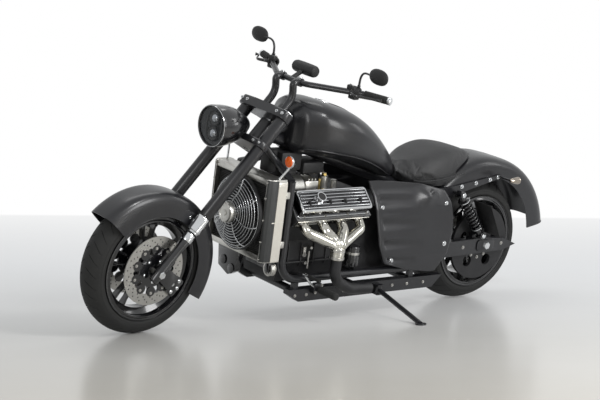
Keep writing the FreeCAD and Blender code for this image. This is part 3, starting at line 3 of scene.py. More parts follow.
import json
import logging
from dataclasses import dataclass, field
from enum import Enum
from math import asin, copysign, cos, exp, hypot, pi, radians, sin, sqrt
from typing import Callable, Optional, Sequence, Union

import bmesh
import bpy
from mathutils import Matrix, Vector


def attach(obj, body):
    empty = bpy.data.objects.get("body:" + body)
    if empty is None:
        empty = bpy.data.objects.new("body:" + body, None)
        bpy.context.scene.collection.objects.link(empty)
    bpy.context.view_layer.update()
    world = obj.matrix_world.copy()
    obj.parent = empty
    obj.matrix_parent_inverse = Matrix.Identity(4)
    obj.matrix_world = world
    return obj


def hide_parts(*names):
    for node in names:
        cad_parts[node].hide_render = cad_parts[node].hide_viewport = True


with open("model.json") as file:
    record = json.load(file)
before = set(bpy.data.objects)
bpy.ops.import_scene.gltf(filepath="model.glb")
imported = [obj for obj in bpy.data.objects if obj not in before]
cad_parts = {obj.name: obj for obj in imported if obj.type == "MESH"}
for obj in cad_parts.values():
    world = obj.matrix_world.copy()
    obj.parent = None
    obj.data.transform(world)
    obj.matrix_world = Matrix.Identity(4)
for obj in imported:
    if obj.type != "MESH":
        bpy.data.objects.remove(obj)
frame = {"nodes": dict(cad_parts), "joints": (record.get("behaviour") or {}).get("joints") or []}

logging.basicConfig(level=logging.INFO, format="%(message)s")
LOG = logging.getLogger("cruiser")

X_AXIS, Y_AXIS, Z_AXIS = (Vector(row) for row in Matrix.Identity(3))
SIDES = (1, -1)
TURN = 2 * pi

Colour = tuple[float, float, float]
Point = Union[Vector, tuple[float, float, float]]


class Body(str, Enum):
    """The bodies that pieces ride on."""

    CHASSIS = "chassis"
    STEERING = "steering"
    FRONT_WHEEL = "front_wheel"
    REAR_WHEEL = "rear_wheel"
    FAN = "fan"


def spot(x: float, y: float, z: float) -> Vector:
    """Return a place or a direction."""
    return Vector((x, y, z))


def mm(*rows: Sequence[float]) -> list[tuple[float, ...]]:
    """Return rows of lengths in metres from rows in millimetres."""
    return [tuple(round(value / 1000, 7) for value in row) for row in rows]


def added(name: str, data: bpy.types.ID) -> bpy.types.Object:
    """Return a new object of the scene that shows some data."""
    made = bpy.data.objects.new(name, data)
    bpy.context.scene.collection.objects.link(made)
    return made


def turned_frame(*axes: Vector) -> Matrix:
    """Return the matrix whose axes are the given ones."""
    return Matrix(axes).transposed().to_4x4()


# Frames of reference


@dataclass(frozen=True)
class Stance:
    """Turns places on the upright bike into places in the row's frame."""

    rake: float = radians(41.0)
    axle_height: float = 0.332
    front_axle: Vector = field(default_factory=lambda: spot(2.027, 0.0, 0.328))

    @staticmethod
    def joint(name: str) -> tuple[Vector, Vector]:
        """Return a joint's place and its axis."""
        found = next(j for j in frame["joints"] if j["name"] == name)
        return Vector(found["pos_m"]), Vector(found["axis"]).normalized()

    def bike(self) -> Matrix:
        """Return the matrix from the upright bike to the row's frame."""
        place, across = self.joint("rear_wheel_spin")
        _, up = self.joint("side_stand")
        ahead = across.cross(up).normalized()
        turn = turned_frame(ahead, across, up)
        return Matrix.Translation(place - up * self.axle_height) @ turn

    def fork(self) -> Matrix:
        """Return the matrix from (ahead, across, along) at the fork to the row's frame."""
        place, across = self.joint("front_wheel_spin")
        _, along = self.joint("steering")
        ahead = across.cross(along).normalized()
        return Matrix.Translation(place) @ turned_frame(ahead, across, along)

    def steered(self) -> Matrix:
        """Return the matrix from the upright bike to the row's frame, bars turned."""
        lean = Matrix.Rotation(-self.rake, 4, "Y")
        return self.fork() @ lean.inverted() @ Matrix.Translation(-self.front_axle)


@dataclass(frozen=True)
class Mount:
    """A frame to draw in, and the body that what is drawn there rides on."""

    at: Matrix
    body: Body

    def moved(self, x: float, y: float, z: float) -> "Mount":
        """Return the same frame with its origin moved."""
        return Mount(self.at @ Matrix.Translation(spot(x, y, z)), self.body)

    def carrying(self, body: Body) -> "Mount":
        """Return the same frame for another body."""
        return Mount(self.at, body)


STANCE = Stance()
BIKE = Mount(STANCE.bike(), Body.CHASSIS)
FAN = BIKE.carrying(Body.FAN)
FORK = Mount(STANCE.fork(), Body.STEERING)
FRONT = Mount(STANCE.steered(), Body.STEERING)
FRONT_AXLE = FRONT.moved(*STANCE.front_axle)
FRONT_WHEEL = FRONT_AXLE.carrying(Body.FRONT_WHEEL)
REAR_WHEEL = BIKE.moved(0.0, 0.0, STANCE.axle_height).carrying(Body.REAR_WHEEL)


# Shader maths


def operator(operation: str, flipped: bool = False) -> Callable[["Signal", "Feed"], "Signal"]:
    """Return the method that stands for an operator.

    Args:
        operation: The Math node's operation.
        flipped: Whether the other value comes first.

    Returns:
        A method that adds the Math node.
    """
    def method(signal: "Signal", other: "Feed") -> "Signal":
        """Return the node's value."""
        values = (other, signal) if flipped else (signal, other)
        return signal.shader.node("ShaderNodeMath", {"operation": operation}, *values)

    return method


class Signal:
    """One output socket of a shader tree that can be used in expressions."""

    def __init__(self, shader: "Shader", socket: bpy.types.NodeSocket) -> None:
        """Keep the socket and the shader that it belongs to."""
        self.shader = shader
        self.socket = socket

    __add__, __radd__ = operator("ADD"), operator("ADD", flipped=True)
    __sub__, __rsub__ = operator("SUBTRACT"), operator("SUBTRACT", flipped=True)
    __mul__, __rmul__ = operator("MULTIPLY"), operator("MULTIPLY", flipped=True)
    __pow__, __rpow__ = operator("POWER"), operator("POWER", flipped=True)


Feed = Union[Signal, float, tuple]


class Shader:
    """Builds the nodes of one material."""

    def __init__(self, name: str) -> None:
        """Start an empty tree."""
        self.material = bpy.data.materials.new(name)
        self.material.use_nodes = True
        self.tree = self.material.node_tree
        self.tree.nodes.clear()

    def raw(self, kind: str, settings: Optional[dict] = None, *feeds: Feed,
            **named: Feed) -> bpy.types.Node:
        """Make a node.

        Args:
            kind: The node's type name.
            settings: Its settings, set before the sockets are fed.
            feeds: Values or links for its first sockets, in order.
            named: Values or links by socket name, with _ for a space.

        Returns:
            The node.
        """
        made = self.tree.nodes.new(kind)
        for word, value in (settings or {}).items():
            setattr(made, word, value)
        sockets = [(made.inputs[index], feed) for index, feed in enumerate(feeds)]
        sockets += [(made.inputs[word.replace("_", " ")], feed) for word, feed in named.items()]
        for socket, feed in sockets:
            if isinstance(feed, Signal):
                self.tree.links.new(feed.socket, socket)
            elif feed is not None:
                socket.default_value = feed
        return made

    def node(self, kind: str, settings: Optional[dict] = None, *feeds: Feed,
            **named: Feed) -> Signal:
        """Make a node and return its first output that is in use."""
        made = self.raw(kind, settings, *feeds, **named)
        return Signal(self, next(out for out in made.outputs if out.enabled))

    def place(self, scale: Point = (1.0, 1.0, 1.0), shift: Point = (0.0, 0.0, 0.0)) -> Signal:
        """Return Object coordinates, stretched and shifted."""
        source = self.raw("ShaderNodeTexCoord")
        return self.node("ShaderNodeMapping", None, Signal(self, source.outputs["Object"]),
            Location=tuple(shift), Scale=tuple(scale))

    def noise(self, place: Signal, scale: float, detail: float, **more: Feed) -> Signal:
        """Return a noise's value."""
        return self.node("ShaderNodeTexNoise", None, place, Scale=scale, Detail=detail, **more)

    def span(self, value: Signal, low: float, high: float, most: float = 1.0) -> Signal:
        """Return how far a value lies between two limits, from 0 up to a most."""
        return self.node("ShaderNodeMapRange", None, value, From_Min=low, From_Max=high, To_Min=0.0,
            To_Max=most)

    def mix(self, share: Feed, first: Colour, second: Colour) -> Signal:
        """Blend two colours."""
        made = self.raw("ShaderNodeMix", {"data_type": "RGBA"})
        for word, feed in (("Factor_Float", share), ("A_Color", first), ("B_Color", second)):
            socket = next(s for s in made.inputs if s.identifier == word)
            if isinstance(feed, Signal):
                self.tree.links.new(feed.socket, socket)
            else:
                socket.default_value = (*feed, 1.0) if isinstance(feed, tuple) else feed
        return Signal(self, next(s for s in made.outputs if s.identifier == "Result_Color"))

    def finish(self, **sockets: Feed) -> bpy.types.Material:
        """End the tree in one Principled shader and return the material."""
        out = self.raw("ShaderNodeOutputMaterial")
        self.tree.links.new(self.node("ShaderNodeBsdfPrincipled", None, **sockets).socket,
            out.inputs["Surface"])
        return self.material


class Grain(Enum):
    """How a surface's fine relief is made."""

    SMOOTH = "smooth"
    PEBBLED = "pebbled"
    LEATHER = "leather"
    BRUSHED = "brushed"


@dataclass(frozen=True)
class Finish:
    """One surface finish, with its fine relief and its wear."""

    name: str
    colour: Colour
    worn: Colour
    roughness: tuple[float, float]
    metallic: float = 0.0
    coat: float = 0.0
    coat_roughness: float = 0.06
    specular: float = 0.5
    grain: Grain = Grain.SMOOTH
    grain_scale: float = 900.0
    relief: float = 0.1
    cloud_scale: float = 9.0
    brush: Point = (1.0, 1.0, 1.0)

    def material(self) -> bpy.types.Material:
        """Return the finish's material, made once."""
        made = bpy.data.materials.get(self.name)
        if made:
            return made
        shader = Shader(self.name)
        place = shader.place()
        cloud = shader.noise(place, self.cloud_scale, 6.0, Roughness=0.6)
        fleck = shader.noise(place, self.cloud_scale * 14, 3.0)
        patch = shader.span(cloud * 0.7 + fleck * 0.3, 0.35, 0.68)
        low, high = self.roughness
        sockets = {"Base_Color": shader.mix(patch, self.colour, self.worn), "Roughness": patch
            * (high - low) + low, "Metallic": self.metallic, "Specular_IOR_Level": self.specular}
        if self.coat:
            sockets["Coat_Weight"] = self.coat
            sockets["Coat_Roughness"] = self.coat_roughness
        relief = self.height(shader, place)
        if relief is not None:
            sockets["Normal"] = shader.node("ShaderNodeBump", None, Strength=self.relief,
                Distance=0.001, Height=relief)
        return shader.finish(**sockets)

    def height(self, shader: Shader, place: Signal) -> Optional[Signal]:
        """Return the fine relief's height, or None for a smooth finish."""
        if self.grain is Grain.PEBBLED:
            return shader.noise(place, self.grain_scale, 4.0)
        if self.grain is Grain.LEATHER:
            cells = shader.node("ShaderNodeTexVoronoi", {"feature": "DISTANCE_TO_EDGE"}, place,
                Scale=self.grain_scale)
            return (cells * 3.0) ** 0.5 + shader.noise(place, 60.0, 4.0) * 0.8
        if self.grain is Grain.BRUSHED:
            return shader.noise(shader.place(self.brush), self.grain_scale, 3.0)
        return None


SATIN_PAINT = Finish("satin_black_paint", (0.010, 0.010, 0.012), (0.014, 0.014, 0.016),
    (0.30, 0.37), coat=0.35, coat_roughness=0.17, specular=0.4, grain=Grain.PEBBLED, relief=0.02,
    grain_scale=420.0, cloud_scale=5.0)
GLOSS_PAINT = Finish("gloss_black_paint", (0.004, 0.004, 0.005), (0.007, 0.007, 0.008),
    (0.16, 0.24), coat=0.8)
BLACK_PLASTIC = Finish("moulded_black_plastic", (0.012, 0.012, 0.013), (0.02, 0.02, 0.02),
    (0.45, 0.62), specular=0.4, grain=Grain.PEBBLED, relief=0.15, grain_scale=1800.0)
RUBBER = Finish("soft_rubber", (0.013, 0.013, 0.013), (0.024, 0.024, 0.023), (0.6, 0.78),
    specular=0.35, grain=Grain.PEBBLED, relief=0.2, grain_scale=900.0)
CHROME = Finish("polished_chrome", (0.78, 0.79, 0.80), (0.66, 0.67, 0.68), (0.05, 0.13),
    metallic=1.0)
STEEL = Finish("ground_steel", (0.56, 0.55, 0.52), (0.42, 0.41, 0.39), (0.24, 0.38), metallic=1.0,
    grain=Grain.BRUSHED, relief=0.12, grain_scale=70.0, brush=(9.0, 9.0, 9.0))
ALUMINIUM = Finish("satin_aluminium", (0.66, 0.65, 0.61), (0.52, 0.51, 0.48), (0.26, 0.4),
    metallic=1.0, grain=Grain.BRUSHED, relief=0.1, grain_scale=40.0, brush=(16.0, 16.0, 1.5))
CAST_ALLOY = Finish("cast_alloy", (0.20, 0.20, 0.20), (0.09, 0.09, 0.09), (0.36, 0.58),
    metallic=0.85, grain=Grain.PEBBLED, relief=0.5, grain_scale=700.0, cloud_scale=22.0)
ENGINE_BLACK = Finish("engine_black", (0.008, 0.008, 0.009), (0.022, 0.022, 0.023), (0.36, 0.58),
    specular=0.4, grain=Grain.PEBBLED, relief=0.4, grain_scale=650.0, cloud_scale=16.0)
LEATHER = Finish("grained_leather", (0.017, 0.017, 0.018), (0.028, 0.028, 0.029), (0.42, 0.56),
    grain=Grain.LEATHER, relief=0.35, grain_scale=420.0)
THREAD = Finish("black_thread", (0.03, 0.03, 0.03), (0.05, 0.05, 0.05), (0.7, 0.8))
WIRE = Finish("plated_wire", (0.62, 0.63, 0.64), (0.45, 0.46, 0.47), (0.2, 0.34), metallic=1.0)
BRASS = Finish("yellow_plating", (0.62, 0.47, 0.18), (0.45, 0.33, 0.12), (0.25, 0.4), metallic=1.0)
SMOKED = Finish("smoked_polish", (0.10, 0.10, 0.105), (0.05, 0.05, 0.052), (0.10, 0.2),
    metallic=1.0)
PIPE_CHROME = Finish("warm_pipe_chrome", (0.66, 0.65, 0.60), (0.40, 0.38, 0.33), (0.05, 0.13),
    metallic=1.0)
BRONZED = Finish("bronzed_chrome", (0.46, 0.41, 0.35), (0.32, 0.28, 0.24), (0.1, 0.2), metallic=1.0)
# Pale strips on the radiator's side tanks: painted highlight, standing in for the aluminium's lit
# reflection.
HIGHLIGHT_STRIP = Finish("painted_highlight_strip", (0.74, 0.71, 0.64), (0.66, 0.63, 0.57), (0.3, 0.42),
    metallic=0.55)
# Near-black finish: the headlamp's own dark bowls and bars, and painted shade over the front of the
# radiator's side tanks.
DARK_PARTS_AND_SHADE = Finish("dark_parts_and_painted_shade", (0.028, 0.03, 0.03), (0.045, 0.046, 0.046), (0.3, 0.45))
ORANGE_LENS = Finish("orange_lens", (0.75, 0.09, 0.006), (0.88, 0.15, 0.01), (0.12, 0.2), coat=0.5,
    grain=Grain.PEBBLED, relief=0.3, grain_scale=260.0)
RED_LENS = Finish("red_lens", (0.55, 0.01, 0.012), (0.7, 0.03, 0.02), (0.12, 0.2), coat=0.5,
    grain=Grain.PEBBLED, relief=0.3, grain_scale=260.0)
LAMP_SILVER = Finish("lamp_reflector", (0.5, 0.52, 0.55), (0.35, 0.37, 0.4), (0.12, 0.25),
    metallic=0.9)
LAMP_GREY = Finish("lamp_inside", (0.016, 0.018, 0.02), (0.04, 0.042, 0.045), (0.25, 0.4))
FIN_BLACK = Finish("radiator_fins", (0.05, 0.05, 0.05), (0.09, 0.09, 0.088), (0.4, 0.6),
    metallic=0.6, grain=Grain.BRUSHED, relief=0.9, grain_scale=60.0, brush=(1.0, 1.0, 14.0))


# Shapes


def around(count: int, shift: float = 0.0) -> list[float]:
    """Return equally spaced turns of a circle."""
    return [TURN * (number + shift) / count for number in range(count)]


def wheel_spot(reach: float, turn: float, across: float) -> Vector:
    """Return a place beside a wheel by its reach from the axle and its turn."""
    return spot(reach * sin(turn), across, reach * cos(turn))


def fan_spot(along: float, reach: float, turn: float) -> Vector:
    """Return a place in the fan by its reach from the shaft and its turn."""
    return spot(along, reach * sin(turn), reach * cos(turn))


def circle(middle: Vector, first: Vector, second: Vector, radius: float,
        steps: int) -> list[Vector]:
    """Return equally spaced points of the circle that two directions span."""
    return [middle + (first * cos(t) + second * sin(t)) * radius for t in around(steps)]


def eased(a: Point, b: Point, c: Point, e: Point, t: float) -> Point:
    """Return what lies between b and c on the smooth curve through four neighbours."""
    return 0.5 * (b * 2 + (c - a) * t + (a * 2 - b * 5 + c * 4 - e) * t**2 + (b * 3 - a - c * 3 + e)
        * t**3)


def smooth_line(points: Sequence[Point], steps: int = 8) -> list[Vector]:
    """Return points along a smooth curve through the given ones.

    Args:
        points: The places the curve passes.
        steps: How many pieces each stretch is divided into.

    Returns:
        The curve's points, ends included.
    """
    given = [Vector(point) for point in points]
    padded = [given[0] * 2 - given[1], *given, given[-1] * 2 - given[-2]]
    spans = zip(padded, padded[1:], padded[2:], padded[3:])
    return [eased(*span, step / steps) for span in spans for step in range(steps)] + [given[-1]]


def flanks(across: float, spots: Sequence[tuple[float, float]]) -> list[tuple[Vector, Vector]]:
    """Return screws' places on both sides, each facing outwards, from (ahead, up) pairs."""
    return [(spot(x, side * across, z), Y_AXIS * side) for side in SIDES for x, z in spots]


def signed_power(value: float, power: float) -> float:
    """Return a value raised to a power, with its sign kept."""
    return copysign(abs(value) ** power, value)


class Form:
    """Gathers the faces of one piece, drawn in a frame of its own."""

    def __init__(self, mount: Mount) -> None:
        """Start an empty form on a mount."""
        self.mount = mount
        self.build = bmesh.new()

    def rows(self, rows: Sequence[Sequence[Point]], ring: bool = True, loop: bool = False,
            capped: bool = False) -> list[bmesh.types.BMFace]:
        """Join rows of points by faces.

        Args:
            rows: Rows of equally many points.
            ring: Whether each row closes on itself.
            loop: Whether the last row meets the first.
            capped: Whether the first and last rows get an end face.

        Returns:
            The new faces.
        """
        made = [[self.build.verts.new(Vector(point)) for point in row] for row in rows]
        faces = []
        pairs = list(zip(made, made[1:])) + ([(made[-1], made[0])] if loop else [])
        count = len(made[0])
        for here, there in pairs:
            for index in range(count if ring else count - 1):
                after = (index + 1) % count
                faces.append(self.build.faces.new((here[index], here[after], there[after],
                    there[index])))
        if capped:
            faces.append(self.build.faces.new(made[0][::-1]))
            faces.append(self.build.faces.new(made[-1]))
        return faces

    def turned(self, profile: Sequence[tuple[float, float]], place: Point = (0, 0, 0),
            axis: Point = Y_AXIS, steps: int = 64, loop: bool = False,
            capped: bool = False) -> None:
        """Turn a profile of (along, radius) about an axis through a place."""
        axis = Vector(axis).normalized()
        first = axis.orthogonal().normalized()
        second = axis.cross(first)
        place = Vector(place)
        self.rows([circle(place + axis * along, first, second, reach, steps)
            for along, reach in profile], loop=loop, capped=capped)

    def rod(self, start: Point, end: Point, radius: float, last: Optional[float] = None,
            steps: int = 24, bevel: float = 0.0) -> None:
        """Add a round bar, tapering to its last radius, with bevelled ends."""
        start, end = Vector(start), Vector(end)
        last = radius if last is None else last
        length = (end - start).length
        profile = [(0.0, radius), (length, last)]
        if bevel:
            profile = [(0.0, radius - bevel), (bevel, radius), (length - bevel, last),
                (length, last - bevel)]
        self.turned(profile, start, end - start, steps, capped=True)

    def tube(self, points: Sequence[Point], radius: Union[float, Callable[[float], float]],
            steps: int = 14) -> None:
        """Add a round tube along points.

        Args:
            points: The tube's middle line.
            radius: One radius, or a function of the share of the run.
            steps: How many sides the tube has.
        """
        line = [Vector(point) for point in points]
        normal = (line[1] - line[0]).orthogonal().normalized()
        rows = []
        for index, here in enumerate(line):
            ahead = line[min(index + 1, len(line) - 1)] - line[max(index - 1, 0)]
            ahead.normalize()
            normal = (normal - ahead * normal.dot(ahead)).normalized()
            side = ahead.cross(normal)
            size = radius(index / (len(line) - 1)) if callable(radius) else radius
            rows.append(circle(here, normal, side, size, steps))
        self.rows(rows, capped=True)

    def prism(self, outline: Sequence[Point], run: Point, bevel: float = 0.0) -> None:
        """Add a closed outline swept along a run, with its edges rounded."""
        start = [Vector(point) for point in outline]
        faces = self.rows([start, [point + Vector(run) for point in start]], capped=True)
        if bevel:
            edges = list({edge for face in faces for edge in face.edges})
            bmesh.ops.bevel(self.build, geom=edges, offset=bevel, offset_type="OFFSET", segments=2,
                affect="EDGES", profile=0.5, clamp_overlap=True)

    def block(self, low: Point, high: Point, bevel: float = 0.0) -> None:
        """Add a box between two corners, with its edges rounded."""
        (a, b, c), (e, f, g) = low, high
        self.prism([(a, b, c), (e, b, c), (e, f, c), (a, f, c)], (0, 0, g - c), bevel)

    def shell(self, outer: list[list[Vector]], inner: list[list[Vector]]) -> None:
        """Join an outer and an inner skin, with an edge all round."""
        self.rows(outer, ring=False)
        self.rows([row[::-1] for row in inner], ring=False)
        for end in (0, -1):
            self.rows([outer[end], inner[end]], ring=False)
        for end in (0, -1):
            self.rows([[row[end] for row in outer], [row[end] for row in inner]], ring=False)

    def mirror(self) -> "Form":
        """Add the image of everything so far on the other side of the bike."""
        copy = bmesh.ops.duplicate(self.build, geom=self.build.verts[:] + self.build.faces[:])
        for item in copy["geom"]:
            if isinstance(item, bmesh.types.BMVert):
                item.co.y = -item.co.y
        return self

    def piece(self, name: str, finish: Union[Finish, bpy.types.Material], replaces: str = "",
            slot: str = "", sharp: float = 35.0) -> bpy.types.Object:
        """Make the gathered faces into one piece of the bike.

        Args:
            name: The piece's name.
            finish: Its finish or material.
            replaces: The node that it stands for, if any.
            slot: The record's material slot, which is not used.
            sharp: The angle in degrees past which an edge stays sharp.

        Returns:
            The new object.
        """
        bmesh.ops.remove_doubles(self.build, verts=self.build.verts, dist=1e-6)
        bmesh.ops.dissolve_degenerate(self.build, edges=self.build.edges, dist=1e-7)
        self.build.transform(self.mount.at)
        bmesh.ops.recalc_face_normals(self.build, faces=self.build.faces)
        mesh = bpy.data.meshes.new(name)
        self.build.to_mesh(mesh)
        self.build.free()
        made = added(name, mesh)
        mesh.shade_smooth()
        mesh.set_sharp_from_angle(angle=radians(sharp))
        return settle(made, self.mount.body, finish, replaces)


def forms(mount: Mount, count: int) -> list[Form]:
    """Return empty forms on one mount."""
    return [Form(mount) for _ in range(count)]


def settle(made: bpy.types.Object, body: Body, finish: Union[Finish, bpy.types.Material],
        replaces: str = "") -> bpy.types.Object:
    """Give a piece its finish, its body and the node that it stands for."""
    material = finish.material() if isinstance(finish, Finish) else finish
    made.data.materials.clear()
    made.data.materials.append(material)
    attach(made, body.value)
    if replaces:
        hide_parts(replaces)
    LOG.info("piece %s on %s: %d faces", made.name, body.value, len(made.data.polygons))
    return made


def dress(finish: Finish, *nodes: str) -> None:
    """Give nodes that stay as the model made them a finish."""
    for name in nodes:
        node = frame["nodes"][name]
        node.data.materials.clear()
        node.data.materials.append(finish.material())


# What repeats


class Growth:
    """A Geometry Nodes tree that makes what repeats, and the plain mesh it gives."""

    def __init__(self, name: str) -> None:
        """Start a tree that takes points and gives a shape."""
        self.name = name
        self.tree = bpy.data.node_groups.new(name, "GeometryNodeTree")
        for way in ("INPUT", "OUTPUT"):
            self.tree.interface.new_socket("Geometry", in_out=way, socket_type="NodeSocketGeometry")
        self.values: dict[str, Union[float, int, tuple]] = {}
        self.start = self.tree.nodes.new("NodeGroupInput")

    def size(self, name: str, value: Union[float, int, tuple]) -> bpy.types.NodeSocket:
        """Add a named input and return its socket."""
        kind = {int: "NodeSocketInt", float: "NodeSocketFloat"}.get(type(value), "NodeSocketVector")
        socket = self.tree.interface.new_socket(name, in_out="INPUT", socket_type=kind)
        self.values[socket.identifier] = value
        return self.start.outputs[name]

    def node(self, kind: str, settings: Optional[dict] = None, **feeds: object) -> bpy.types.Node:
        """Make a node with its settings, and feed its sockets by name."""
        made = self.tree.nodes.new(kind)
        for word, value in (settings or {}).items():
            setattr(made, word, value)
        for word, feed in feeds.items():
            socket = next(s for s in made.inputs if s.enabled and s.name == word.replace("_", " "))
            if isinstance(feed, bpy.types.NodeSocket):
                self.tree.links.new(feed, socket)
            else:
                socket.default_value = feed
        return made

    def joined(self, *sockets: bpy.types.NodeSocket) -> bpy.types.NodeSocket:
        """Join several geometries into one."""
        made = self.tree.nodes.new("GeometryNodeJoinGeometry")
        for socket in reversed(sockets):
            self.tree.links.new(socket, made.inputs[0])
        return made.outputs[0]

    def aimed(self, shape: bpy.types.NodeSocket,
            points: bpy.types.NodeSocket) -> bpy.types.NodeSocket:
        """Set a shape on points, its Z axis along each point's aim."""
        aim = self.node("GeometryNodeInputNamedAttribute", {"data_type": "FLOAT_VECTOR"},
            Name="aim")
        turn = self.node("FunctionNodeAlignRotationToVector", {"axis": "Z"},
            Vector=aim.outputs["Attribute"])
        return self.node("GeometryNodeInstanceOnPoints", Points=points, Instance=shape,
            Rotation=turn.outputs[0]).outputs[0]

    def grow(self, shape: bpy.types.NodeSocket, mount: Mount, finish: Finish,
            points: Sequence[Point] = (), aims: Sequence[Point] = (), replaces: str = "",
            slot: str = "") -> bpy.types.Object:
        """Run the tree and keep what it makes as a plain mesh.

        Args:
            shape: The socket that ends the tree.
            mount: The frame and the body that it belongs to.
            finish: Its finish.
            points: Points for the tree's own geometry input.
            aims: One direction for each point.
            replaces: The node that it stands for, if any.
            slot: The record's material slot, which is not used.

        Returns:
            The new piece.
        """
        real = self.node("GeometryNodeRealizeInstances", Geometry=shape)
        dressed = self.node("GeometryNodeSetMaterial", Geometry=real.outputs[0],
            Material=finish.material())
        out = self.tree.nodes.new("NodeGroupOutput")
        self.tree.links.new(dressed.outputs[0], out.inputs[0])
        seeds = bpy.data.meshes.new(self.name + "_points")
        seeds.from_pydata([tuple(point) for point in points] or [(0, 0, 0)], [], [])
        if aims:
            held = seeds.attributes.new("aim", "FLOAT_VECTOR", "POINT")
            for place, aim in zip(held.data, aims):
                place.vector = tuple(aim)
        source = added(self.name + "_source", seeds)
        modifier = source.modifiers.new("growth", "NODES")
        modifier.node_group = self.tree
        for identifier, value in self.values.items():
            modifier[identifier] = value
        graph = bpy.context.evaluated_depsgraph_get()
        mesh = bpy.data.meshes.new_from_object(source.evaluated_get(graph))
        source.modifiers.clear()
        bpy.data.objects.remove(source)
        mesh.transform(mount.at)
        mesh.name = self.name
        made = added(self.name, mesh)
        mesh.shade_smooth()
        mesh.set_sharp_from_angle(angle=radians(40.0))
        return settle(made, mount.body, finish, replaces)


def bolts(name: str, mount: Mount, finish: Finish, places: Sequence[tuple[Point, Point]],
        radius: float = 0.006, height: float = 0.006, sides: int = 6) -> None:
    """Set screw heads with washers on places, each given with the way that it faces."""
    growth = Growth(name)
    wide = growth.size("Head radius", radius)
    tall = growth.size("Head height", height)
    count = growth.size("Sides", sides)
    head = growth.node("GeometryNodeMeshCone", Vertices=count, Radius_Top=radius * 0.8,
        Radius_Bottom=wide, Depth=tall)
    washer = growth.node("GeometryNodeMeshCylinder", Vertices=18, Radius=radius * 1.45, Depth=height
        * 0.5)
    both = growth.joined(head.outputs["Mesh"], washer.outputs["Mesh"])
    shape = growth.aimed(both, growth.start.outputs["Geometry"])
    growth.grow(shape, mount, finish, *zip(*places))


def scatter(name: str, mount: Mount, finish: Finish, kind: str, places: Sequence[tuple[Point,
        Point]], **sizes: Union[float, int, tuple]) -> None:
    """Set one plain mesh on places, each given with the way that it faces."""
    growth = Growth(name)
    feeds = {word: growth.size(word, value) for word, value in sizes.items()}
    mesh = growth.node(f"GeometryNodeMesh{kind}", **feeds).outputs["Mesh"]
    shape = growth.aimed(mesh, growth.start.outputs["Geometry"])
    growth.grow(shape, mount, finish, *zip(*places))


def stitches(name: str, mount: Mount, finish: Finish, line: Sequence[Point], out: Point,
        pitch: float = 0.007) -> None:
    """Sew a row of stitches along a line that lies on a surface."""
    places = []
    left = 0.0
    for here, there in zip(line, line[1:]):
        run = Vector(there) - Vector(here)
        while left < run.length:
            places.append((Vector(here) + run.normalized() * left + Vector(out) * 0.0008, run))
            left += pitch
        left -= run.length
    scatter(name, mount, finish, "Cylinder", places, Vertices=6, Radius=0.0009, Depth=pitch * 0.7)


# Wheels


